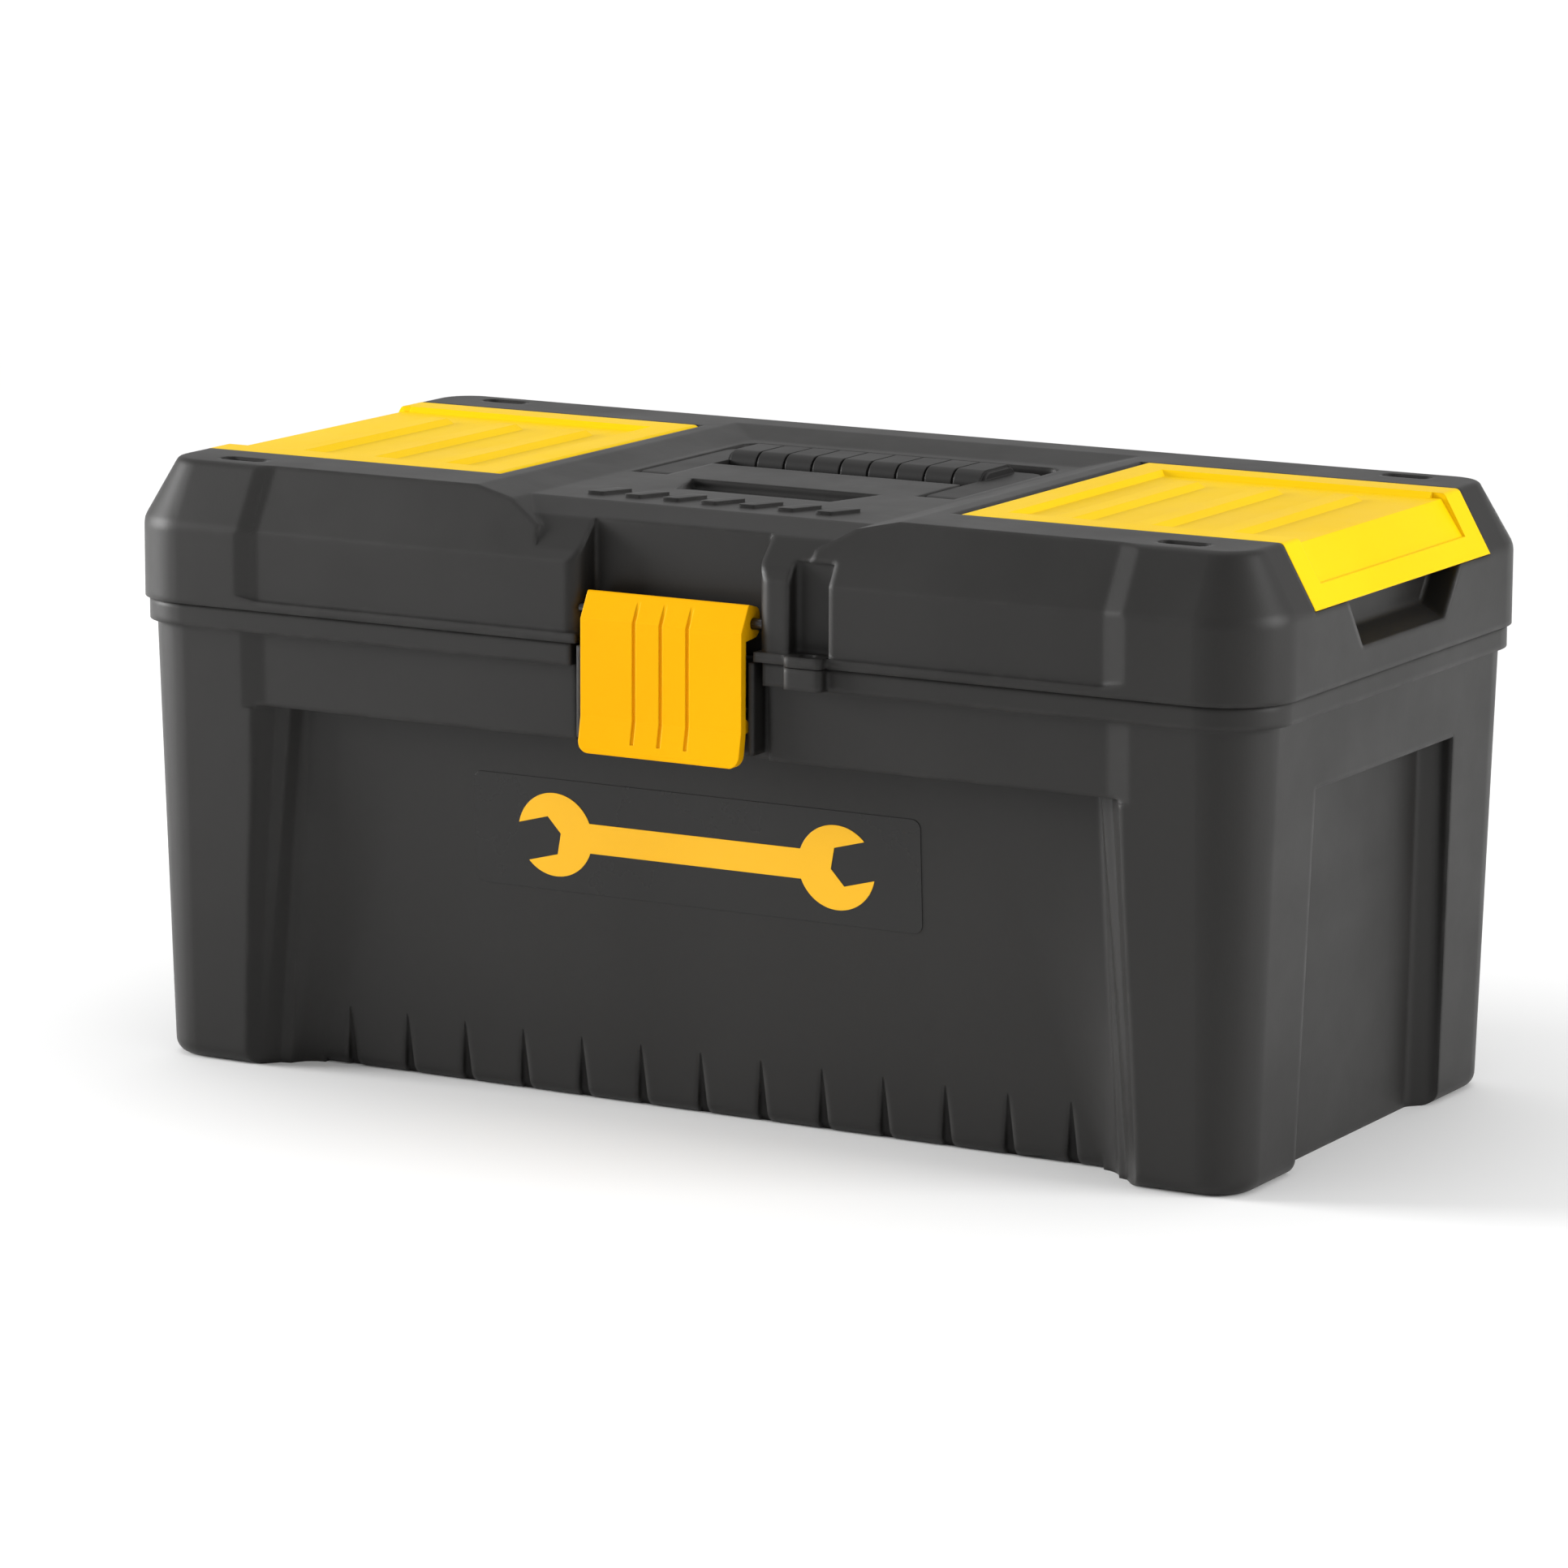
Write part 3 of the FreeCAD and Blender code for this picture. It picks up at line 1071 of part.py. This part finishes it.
def makeTray():
    """The lift-out tray: a flanged tub with a carrying rib down the middle, and two slide-in dividers."""
    flangeLow = shelfZ + " + gap"
    flangeHigh = flangeLow + " + 2.4"
    flange = prism("trayFlange", "XY", flangeLow, flangeHigh,
                   ring("trayRimHalfLength", "trayRimHalfDepth", "14"))
    upper = prism("trayUpper", "XY", flangeLow, "trayTop",
                  ring("trayRimHalfLength - trayFlangeReach", "trayRimHalfDepth - trayFlangeReach", "13"))
    lower = prism("trayLower", "XY", "trayFloorZ", shelfZ + " + 1",
                  ring("trayHalfLength", "trayHalfDepth", "12"), "-trayDraft", True)
    shell = join("traySolid", [flange, upper, lower])
    upperHollow = prism("trayUpperHollow", "XY", flangeHigh, "trayTop + 1",
                        ring("trayRimHalfLength - trayFlangeReach - trayWall",
                             "trayRimHalfDepth - trayFlangeReach - trayWall", "11"))
    lowerHollow = prism("trayLowerHollow", "XY", "trayFloorZ + trayWall", shelfZ + " + 4",
                        ring("trayHalfLength - trayWall", "trayHalfDepth - trayWall", "10"),
                        "-trayDraft", True)
    tub = remove("trayTub", shell, [upperHollow, lowerHollow])

    # the room inside, 1.2 into the walls, that the rib and the dividers fill
    room = join("trayRoom", [
        prism("trayRoomLow", "XY", "trayFloorZ + 1", shelfZ + " + 4",
              ring("trayHalfLength - 1", "trayHalfDepth - 1", "10"), "-trayDraft", True),
        prism("trayRoomHigh", "XY", flangeLow + " + 1", "trayTop",
              ring("trayRimHalfLength - 3", "trayRimHalfDepth - 3", "11")),
    ])
    rib = common("trayRibFitted", [
        block("trayRib", ("-trayRimHalfLength", "trayRimHalfLength"),
              ("-trayRibThick / 2", "trayRibThick / 2"), ("trayFloorZ", "trayTop - trayRibDrop")),
        room,
    ])
    loop = prism("trayLoop", "XZ", "-trayHandleThick / 2", "trayHandleThick / 2", [
        ("-trayHandleHalf", "trayFloorZ + 1"),
        ("trayHandleHalf", "trayFloorZ + 1"),
        ("trayHandleHalf", "trayHandleTop", "10"),
        ("-trayHandleHalf", "trayHandleTop", "10"),
    ])
    loopGap = prism("trayLoopGap", "XZ", "-trayHandleThick", "trayHandleThick", [
        ("-(trayHandleHalf - 9)", "trayHandleTop - 8 - trayHandleGap", "5"),
        ("trayHandleHalf - 9", "trayHandleTop - 8 - trayHandleGap", "5"),
        ("trayHandleHalf - 9", "trayHandleTop - 8", "5"),
        ("-(trayHandleHalf - 9)", "trayHandleTop - 8", "5"),
    ])
    grooves = []
    dividers = []
    for side, sign in (("Left", "-"), ("Right", "")):
        slot = trayDivider(side, sign, "trayGrooveRoom", "trayTop")
        slab = trayDivider(side, sign, "0", "trayTop - trayDividerDrop")
        grooves.append(common("trayGroove" + side, [slot, room]))
        dividers.append(common("tray_divider_" + side.lower(), [slab, room]))
    tray = remove("lift_out_tray", join("trayWhole", [tub, rib, loop]), [loopGap] + grooves)
    return [tray] + dividers


def makePin(label, axis, low, high, centre, radius):
    """A plain steel pin with small chamfers at both ends."""
    shaft = rod(label + "Shaft", axis, low, high, centre, radius)
    doc.recompute()
    pin = doc.addObject("Part::Chamfer", label)
    pin.Base = shaft
    size = number(radius) * 0.2
    pin.Edges = [(spot, size, size) for spot, edge in enumerate(shaft.Shape.Edges, start=1)
                 if isinstance(edge.Curve, Part.Circle)]
    return pin


def makePins():
    pins = []
    for side, middle in (("left", "-hingeX"), ("right", "hingeX")):
        reach = "knuckleHalf + gap + earWidth - 0.2"
        pins.append(makePin("lid_hinge_pin_" + side, "x", "%s - (%s)" % (middle, reach),
                            "%s + %s" % (middle, reach), (hingeY, "baseTop"), "hingePinRadius"))
    seat = "recessHalfWidth + latchSeatDepth - 0.2"
    pins.append(makePin("latch_pin", "x", "-(%s)" % seat, seat, ("-latchPivotY", "latchPivotZ"),
                        "latchPinRadius"))
    for side, sign in (("left", "-1"), ("right", "1")):
        near, far = "armInner - 0.6 - handlePinSeat", "armOuter + 0.6 + handlePinSeat"
        low, high = (near, far) if sign == "1" else ("-(%s)" % far, "-(%s)" % near)
        pins.append(makePin("handle_pin_" + side, "x", low, high, ("-pivotY", "pivotZ"), "handlePinRadius"))
        for end, back in (("front", True), ("rear", False)):
            low = "flapHalfWidth - gap / 2 - flapPinLength / 2 + 0.2"
            high = "flapHalfWidth + gap + flapPinLength / 2 - 0.2"
            if back:
                low, high = "-(%s)" % high, "-(%s)" % low
            pins.append(makePin("flap_pin_%s_%s" % (side, end), "y", low, high,
                                ("%s * %s" % (sign, flapPinX), flapPinZ), "flapPinRadius"))
    return pins


def makeLabel():
    """A thin film on the sloping front panel."""
    body = newBody("front_label")
    lean = "cos(panelDraft)"
    sketch = bodySketch(body, "filmOutline", "XZ_Plane", [
        ("-labelHalfWidth", "labelLow / %s" % lean, "labelRadius"),
        ("labelHalfWidth", "labelLow / %s" % lean, "labelRadius"),
        ("labelHalfWidth", "labelHigh / %s" % lean, "labelRadius"),
        ("-labelHalfWidth", "labelHigh / %s" % lean, "labelRadius"),
    ])
    pad(body, "film", sketch, "labelThick", False)
    turn = FreeCAD.Rotation(FreeCAD.Vector(1, 0, 0), number("panelDraft"))
    body.Placement = FreeCAD.Placement(FreeCAD.Vector(), turn)
    bind(body, "Placement.Base.y", "-%s" % panelFootY)
    return body


nodes = [makeBase(), makeLid(), makeHandle(), makeLatch(), makeFlap("organiser_lid_right", ""),
         makeFlap("organiser_lid_left", "-"), makeLabel()] + makeTray() + makePins()
doc.recompute()

for item in doc.Objects:
    if "Invalid" in item.State or "Error" in item.State:
        raise RuntimeError("%s is not right: %s" % (item.Label, item.State))

os.makedirs("parts", exist_ok=True)
for node in nodes:
    shape = node.Shape
    if shape.isNull() or not shape.isValid() or len(shape.Solids) != 1:
        raise RuntimeError("%s has no sound solid (%d)" % (node.Label, len(shape.Solids)))
    shape.exportStep("parts/%s.step" % node.Label)
    print(node.Label, len(shape.Faces), "faces, %.1f cm3" % (shape.Volume / 1000))
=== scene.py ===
import math

import bmesh
import bpy
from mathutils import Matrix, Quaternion, Vector


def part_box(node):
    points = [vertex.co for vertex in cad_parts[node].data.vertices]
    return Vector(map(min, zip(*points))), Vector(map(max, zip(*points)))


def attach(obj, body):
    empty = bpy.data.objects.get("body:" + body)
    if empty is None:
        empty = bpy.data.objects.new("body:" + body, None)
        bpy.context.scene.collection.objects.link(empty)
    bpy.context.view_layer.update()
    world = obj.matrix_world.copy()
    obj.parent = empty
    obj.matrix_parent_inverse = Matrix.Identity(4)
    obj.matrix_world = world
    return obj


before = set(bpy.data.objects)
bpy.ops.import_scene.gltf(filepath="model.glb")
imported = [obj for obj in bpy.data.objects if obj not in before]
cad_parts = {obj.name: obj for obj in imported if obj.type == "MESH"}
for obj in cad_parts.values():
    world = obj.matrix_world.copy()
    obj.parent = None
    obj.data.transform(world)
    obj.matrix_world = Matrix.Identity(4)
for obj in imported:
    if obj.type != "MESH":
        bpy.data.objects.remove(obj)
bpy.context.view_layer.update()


# small helpers for building materials out of nodes

def newMaterial(name):
    material = bpy.data.materials.new(name)
    material.use_nodes = True
    tree = material.node_tree
    tree.nodes.clear()
    output = tree.nodes.new("ShaderNodeOutputMaterial")
    shader = tree.nodes.new("ShaderNodeBsdfPrincipled")
    tree.links.new(shader.outputs["BSDF"], output.inputs["Surface"])
    return material, tree, shader


def addNode(tree, kind, inputs=None, **settings):
    node = tree.nodes.new(kind)
    for key, value in settings.items():
        setattr(node, key, value)
    for key, value in (inputs or {}).items():
        if isinstance(value, bpy.types.NodeSocket):
            tree.links.new(value, node.inputs[key])
        else:
            node.inputs[key].default_value = value
    return node


def noiseField(tree, place, scale, detail=3.0, stretch=(1, 1, 1), roughness=0.5):
    spot = addNode(tree, "ShaderNodeMapping", {"Vector": place, "Scale": stretch})
    noise = addNode(tree, "ShaderNodeTexNoise", {
        "Vector": spot.outputs["Vector"],
        "Scale": scale,
        "Detail": detail,
        "Roughness": roughness,
    })
    return noise.outputs["Fac"]


def remap(tree, value, low, high, toLow, toHigh):
    node = addNode(tree, "ShaderNodeMapRange", {
        "Value": value,
        "From Min": low,
        "From Max": high,
        "To Min": toLow,
        "To Max": toHigh,
    })
    return node.outputs["Result"]


def mathNode(tree, operation, first, second, clamp=False):
    node = addNode(tree, "ShaderNodeMath", operation=operation, use_clamp=clamp)
    for index, value in enumerate((first, second)):
        if isinstance(value, bpy.types.NodeSocket):
            tree.links.new(value, node.inputs[index])
        else:
            node.inputs[index].default_value = value
    return node.outputs["Value"]


def mixColour(tree, factor, first, second):
    node = addNode(tree, "ShaderNodeMix", data_type="RGBA")
    for index, value in ((0, factor), (6, first), (7, second)):
        if isinstance(value, bpy.types.NodeSocket):
            tree.links.new(value, node.inputs[index])
        else:
            node.inputs[index].default_value = value
    return node.outputs[2]


def opaque(colour):
    return (*colour, 1.0)


# what all the mouldings have in common; each piece's own looks stand beside its code
plasticWays = {
    "bevelSamples": 6,
    "fullWearAt": 0.86,  # how far the rounded normal leaves the flat one; 1 is not at all
    "scuffRange": (0.42, 0.66),
    "leastScuff": 0.25,
    "mottleShare": 0.6,
    "flowShare": 0.4,
    "shadeRange": (0.35, 0.65),
    "patchRange": (0.3, 0.7),
    "ior": 1.49,
    "glowRadius": (0.004, 0.002, 0.0005),
    "glowScale": 0.5,
}


# One moulded plastic serves every moulding; each piece has its own dictionary of looks.
def mouldedPlastic(name, look):
    ways = plasticWays
    material, tree, shader = newMaterial(name)
    place = addNode(tree, "ShaderNodeTexCoord").outputs["Object"]

    # edge wear: where the rounded normal leaves the flat one, broken up by noise
    bevel = addNode(tree, "ShaderNodeBevel", {"Radius": look["edgeRadius"]}, samples=ways["bevelSamples"])
    rounded = bevel.outputs["Normal"]
    flat = addNode(tree, "ShaderNodeNewGeometry").outputs["Normal"]
    facing = addNode(tree, "ShaderNodeVectorMath", {0: rounded, 1: flat}, operation="DOT_PRODUCT")
    edge = remap(tree, facing.outputs["Value"], 1.0, ways["fullWearAt"], 0.0, 1.0)
    scuffNoise = noiseField(tree, place, look["scuffScale"])
    scuff = remap(tree, scuffNoise, *ways["scuffRange"], ways["leastScuff"], 1.0)
    wear = mathNode(tree, "MULTIPLY", edge, scuff, clamp=True)

    # colour: slow mottling and faint flow lines from the melt, lighter at worn edges
    mottle = noiseField(tree, place, look["mottleScale"], detail=2.0)
    flow = noiseField(tree, place, look["flowScale"], detail=4.0, stretch=look["flowStretch"])
    mottled = mathNode(tree, "MULTIPLY", mottle, ways["mottleShare"])
    flowing = mathNode(tree, "MULTIPLY", flow, ways["flowShare"])
    shade = mathNode(tree, "ADD", mottled, flowing)
    body = mixColour(tree, remap(tree, shade, *ways["shadeRange"], 0.0, 1.0),
                     opaque(look["darkColour"]), opaque(look["lightColour"]))
    wornFactor = mathNode(tree, "MULTIPLY", wear, look["wearAmount"])
    colour = mixColour(tree, wornFactor, body, opaque(look["wornColour"]))
    tree.links.new(colour, shader.inputs["Base Color"])

    # sheen of the tool's finish, uneven from handling, smoother where edges are rubbed
    patches = noiseField(tree, place, look["patchScale"], detail=5.0, roughness=0.6)
    finish = remap(tree, patches, *ways["patchRange"], look["roughLow"], look["roughHigh"])
    rubbed = mathNode(tree, "SUBTRACT", finish, mathNode(tree, "MULTIPLY", wear, look["rubbedShine"]))
    tree.links.new(rubbed, shader.inputs["Roughness"])

    # spark-eroded grain over a slight waviness of the wall
    grain = noiseField(tree, place, look["grainScale"], detail=2.0, roughness=0.7)
    wave = noiseField(tree, place, look["waveScale"], detail=1.0)
    wavy = addNode(tree, "ShaderNodeBump", {
        "Height": wave,
        "Distance": look["waveHeight"],
        "Strength": 1.0,
        "Normal": rounded,
    })
    grained = addNode(tree, "ShaderNodeBump", {
        "Height": grain,
        "Distance": look["grainHeight"],
        "Strength": look["grainStrength"],
        "Normal": wavy.outputs["Normal"],
    })
    tree.links.new(grained.outputs["Normal"], shader.inputs["Normal"])

    shader.inputs["IOR"].default_value = ways["ior"]
    shader.inputs["Specular IOR Level"].default_value = look["specular"]
    shader.inputs["Subsurface Weight"].default_value = look["glow"]
    shader.inputs["Subsurface Radius"].default_value = ways["glowRadius"]
    shader.inputs["Subsurface Scale"].default_value = ways["glowScale"]
    return material


def drawnSteel(name, look):
    material, tree, shader = newMaterial(name)
    place = addNode(tree, "ShaderNodeTexCoord").outputs["Object"]
    lines = noiseField(tree, place, look["lineScale"], detail=3.0, stretch=look["lineStretch"])
    tree.links.new(mixColour(tree, lines, opaque(look["darkColour"]), opaque(look["lightColour"])),
                   shader.inputs["Base Color"])
    rough = remap(tree, lines, *look["lineRange"], look["roughLow"], look["roughHigh"])
    tree.links.new(rough, shader.inputs["Roughness"])
    bump = addNode(tree, "ShaderNodeBump", {
        "Height": lines,
        "Distance": look["lineHeight"],
        "Strength": look["lineStrength"],
    })
    tree.links.new(bump.outputs["Normal"], shader.inputs["Normal"])
    shader.inputs["Metallic"].default_value = 1.0
    return material


def dress(material, *nodeNames):
    for nodeName in nodeNames:
        node = bpy.data.objects[nodeName]
        node.data.materials.clear()
        node.data.materials.append(material)


# black mouldings

shellLook = {
    "darkColour": (0.0105, 0.0099, 0.0093),
    "lightColour": (0.0150, 0.0142, 0.0134),
    "wornColour": (0.060, 0.057, 0.055),
    "edgeRadius": 0.0026,
    "wearAmount": 0.35,
    "scuffScale": 90.0,
    "mottleScale": 9.0,
    "flowScale": 14.0,
    "flowStretch": (1.0, 1.0, 0.18),
    "patchScale": 26.0,
    "roughLow": 0.40,
    "roughHigh": 0.50,
    "rubbedShine": 0.08,
    "grainScale": 1500.0,
    "grainHeight": 0.00006,
    "grainStrength": 0.35,
    "waveScale": 18.0,
    "waveHeight": 0.0003,
    "specular": 0.30,
    "glow": 0.0,
}
trayLook = dict(shellLook, darkColour=(0.012, 0.0115, 0.011), lightColour=(0.017, 0.0163, 0.0158),
                mottleScale=12.0, edgeRadius=0.001, roughLow=0.44, roughHigh=0.56, wearAmount=0.45)
handleLook = dict(shellLook, darkColour=(0.0105, 0.010, 0.0097), lightColour=(0.0150, 0.0142, 0.0137),
                  grainScale=2100.0, roughLow=0.46, roughHigh=0.58, edgeRadius=0.0005, wearAmount=0.5)

shellBlack = mouldedPlastic("shellBlack", shellLook)
trayBlack = mouldedPlastic("trayBlack", trayLook)
handleBlack = mouldedPlastic("handleBlack", handleLook)
dress(shellBlack, "base_shell", "lid_shell")
dress(trayBlack, "lift_out_tray", "tray_divider_left", "tray_divider_right")
dress(handleBlack, "carry_handle")
print("black mouldings dressed")


# yellow mouldings

latchLook = dict(shellLook, darkColour=(0.82, 0.39, 0.0002), lightColour=(0.89, 0.445, 0.0004),
                 wornColour=(0.86, 0.50, 0.02), wearAmount=0.3, roughLow=0.36, roughHigh=0.46,
                 grainScale=1900.0, grainStrength=0.2, edgeRadius=0.0005, waveHeight=0.00012, glow=0.03,
                 specular=0.05)
flapLook = dict(latchLook, darkColour=(0.82, 0.52, 0.001), lightColour=(0.88, 0.58, 0.003),
                wornColour=(0.88, 0.58, 0.03), roughLow=0.38, roughHigh=0.48)

latchYellow = mouldedPlastic("latchYellow", latchLook)
flapYellow = mouldedPlastic("flapYellow", flapLook)
dress(latchYellow, "front_latch")
dress(flapYellow, "organiser_lid_left", "organiser_lid_right")
print("yellow mouldings dressed")


# blackened steel pins

pinLook = {
    "darkColour": (0.045, 0.045, 0.047),
    "lightColour": (0.085, 0.085, 0.088),
    "lineScale": 900.0,
    "lineStretch": (0.04, 1.0, 1.0),
    "roughLow": 0.22,
    "roughHigh": 0.38,
    "lineHeight": 0.00002,
    "lineRange": (0.3, 0.7),
    "lineStrength": 0.6,
}
pinSteel = drawnSteel("pinSteel", pinLook)
dress(pinSteel, *[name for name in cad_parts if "pin" in name])
print("pins dressed")


# label: printed film with a plain spanner mark standing on it

filmLook = dict(shellLook, darkColour=(0.012, 0.0115, 0.011), lightColour=(0.016, 0.0155, 0.015),
                grainScale=420.0, grainHeight=0.00002, roughLow=0.24, roughHigh=0.34, wearAmount=0.15,
                edgeRadius=0.0002, waveScale=30.0, waveHeight=0.0002)
inkLook = dict(filmLook, darkColour=(0.83, 0.43, 0.006), lightColour=(0.90, 0.48, 0.010),
               wornColour=(0.95, 0.62, 0.10), roughLow=0.30, roughHigh=0.40)
labelFilm = mouldedPlastic("labelFilm", filmLook)
labelInk = mouldedPlastic("labelInk", inkLook)
dress(labelFilm, "front_label")

spannerMark = {
    "length": 0.128,
    "headRadius": 0.0135,
    "shankHalfHeight": 0.0048,
    "jawHalfWidth": 0.0062,
    "jawDepth": 0.0125,
    "jawTurn": math.radians(15),
    "jawFloorDip": 0.5,  # of the jaw's half width
    "thickness": 0.00006,
    "lift": 0.00003,
    "arcSteps": 40,
    "forwardLimit": -0.5,  # faces whose normal has less y than this look forward
}


def spannerOutline(size):
    # the right half's head, an open ring seen from the shank, then the same turned half a turn
    centre = Vector((size["length"] / 2 - size["headRadius"], 0))
    radius = size["headRadius"]
    meet = math.asin(size["shankHalfHeight"] / radius)
    mouth = math.asin(size["jawHalfWidth"] / radius)
    turn = size["jawTurn"]
    half = []
    start = -math.pi + meet
    stop = turn - mouth
    for step in range(size["arcSteps"] + 1):
        angle = start + (stop - start) * step / size["arcSteps"]
        half.append(centre + radius * Vector((math.cos(angle), math.sin(angle))))
    along = Vector((math.cos(turn), math.sin(turn)))
    across = Vector((-along.y, along.x))
    floorPlace = centre + along * (radius - size["jawDepth"])
    half.append(floorPlace - across * size["jawHalfWidth"])
    half.append(floorPlace - along * size["jawHalfWidth"] * size["jawFloorDip"])
    half.append(floorPlace + across * size["jawHalfWidth"])
    start = turn + mouth
    stop = math.pi - meet
    for step in range(size["arcSteps"] + 1):
        angle = start + (stop - start) * step / size["arcSteps"]
        half.append(centre + radius * Vector((math.cos(angle), math.sin(angle))))
    return half + [-point for point in half]


def labelPlane():
    # the film's outer face: the largest one that looks forward
    film = bpy.data.objects["front_label"].data
    area = {}
    for face in film.polygons:
        if face.normal.y < spannerMark["forwardLimit"]:
            key = tuple(round(value, 2) for value in face.normal)
            area[key] = area.get(key, 0) + face.area
    normal = Vector(max(area, key=area.get)).normalized()
    outermost = max((normal.dot(vertex.co) for vertex in film.vertices))
    low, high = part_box("front_label")
    middle = (Vector(low) + Vector(high)) / 2
    middle += normal * (outermost - normal.dot(middle))
    return middle, normal


def makeSpannerMark():
    middle, normal = labelPlane()
    right = Vector((1, 0, 0))
    up = normal.cross(right).normalized()
    up = up if up.z > 0 else -up
    mesh = bmesh.new()
    seat = middle + normal * spannerMark["lift"]
    back = [mesh.verts.new(seat + right * point.x + up * point.y)
            for point in spannerOutline(spannerMark)]
    face = mesh.faces.new(back)
    grown = bmesh.ops.extrude_face_region(mesh, geom=[face])
    raised = [item for item in grown["geom"] if isinstance(item, bmesh.types.BMVert)]
    bmesh.ops.translate(mesh, verts=raised, vec=normal * spannerMark["thickness"])
    bmesh.ops.recalc_face_normals(mesh, faces=mesh.faces)
    data = bpy.data.meshes.new("label_spanner_mark")
    mesh.to_mesh(data)
    mesh.free()
    piece = bpy.data.objects.new("label_spanner_mark", data)
    bpy.context.scene.collection.objects.link(piece)
    data.materials.append(labelInk)
    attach(piece, "base")


makeSpannerMark()
print("label printed")


# floor, lights and camera

studio = {
    "floorSize": 30.0,
    "floorColour": (0.93, 0.93, 0.928),
    "floorToneScale": 3.0,
    "floorToneRange": (0.3, 0.7),
    "floorDarker": 0.985,
    "floorRough": 0.8,
    "worldColour": (1.0, 1.0, 1.0),
    "worldStrength": 0.66,
}
lamps = {
    "overhead": {"place": (-0.2, 0.3, 2.0), "size": 1.8, "power": 7.0},
    "frontLeft": {"place": (-2.1, -0.7, 0.6), "size": 0.9, "power": 66.0},
    "rightSide": {"place": (2.1, 0.4, 0.8), "size": 1.0, "power": 31.0},
    "backdrop": {"place": (-2.0, 5.5, 3.5), "size": 6.0, "power": 520.0,
                 "aimAt": (-2.0, 5.5, 0), "spread": 50.0},
}
openSpread = 180.0  # degrees, for the lamps that name no spread
boxMiddle = (0, 0, 0.1)  # where the lamps that name no aim are turned
viewpoint = {
    "azimuth": 29.5,
    "elevation": 10.93,
    "roll": 0.23,
    "distance": 2.2489,
    "target": (-0.0136, 0.0, 0.0915),
    "lens": 160.9,
    "sensorWidth": 36.0,
    "clipEnd": 60.0,
}


def makeFloor():
    material, tree, shader = newMaterial("paleFloor")
    place = addNode(tree, "ShaderNodeTexCoord").outputs["Object"]
    clouds = noiseField(tree, place, studio["floorToneScale"])
    tone = remap(tree, clouds, *studio["floorToneRange"], 0.0, 1.0)
    colour = studio["floorColour"]
    darker = [value * studio["floorDarker"] for value in colour]
    tree.links.new(mixColour(tree, tone, opaque(colour), opaque(darker)), shader.inputs["Base Color"])
    shader.inputs["Roughness"].default_value = studio["floorRough"]
    mesh = bmesh.new()
    bmesh.ops.create_grid(mesh, x_segments=1, y_segments=1, size=studio["floorSize"] / 2)
    data = bpy.data.meshes.new("floor")
    mesh.to_mesh(data)
    mesh.free()
    floor = bpy.data.objects.new("floor", data)
    bpy.context.scene.collection.objects.link(floor)
    data.materials.append(material)


def aim(thing, place, target, roll=0.0):
    thing.location = place
    turn = (Vector(target) - Vector(place)).to_track_quat("-Z", "Y")
    thing.rotation_mode = "QUATERNION"
    thing.rotation_quaternion = turn @ Quaternion((0, 0, 1), roll)


def makeLamps():
    for name, lamp in lamps.items():
        data = bpy.data.lights.new(name, "AREA")
        data.shape = "SQUARE"
        data.size = lamp["size"]
        data.energy = lamp["power"]
        data.spread = math.radians(lamp.get("spread", openSpread))
        thing = bpy.data.objects.new(name, data)
        bpy.context.scene.collection.objects.link(thing)
        aim(thing, lamp["place"], lamp.get("aimAt", boxMiddle))
    world = bpy.data.worlds.new("studioWorld")
    world.use_nodes = True
    background = world.node_tree.nodes["Background"]
    background.inputs["Color"].default_value = opaque(studio["worldColour"])
    background.inputs["Strength"].default_value = studio["worldStrength"]
    bpy.context.scene.world = world


def makeCamera():
    around = math.radians(viewpoint["azimuth"])
    rise = math.radians(viewpoint["elevation"])
    back = Vector((math.sin(around) * math.cos(rise), -math.cos(around) * math.cos(rise), math.sin(rise)))
    target = Vector(viewpoint["target"])
    data = bpy.data.cameras.new("camera")
    data.lens = viewpoint["lens"]
    data.sensor_width = viewpoint["sensorWidth"]
    data.clip_end = viewpoint["clipEnd"]
    thing = bpy.data.objects.new("camera", data)
    bpy.context.scene.collection.objects.link(thing)
    aim(thing, target + back * viewpoint["distance"], target, math.radians(viewpoint["roll"]))
    bpy.context.scene.camera = thing


bpy.context.scene.view_settings.view_transform = "Standard"  # keeps the yellows pure
makeFloor()
makeLamps()
makeCamera()
print("studio ready")
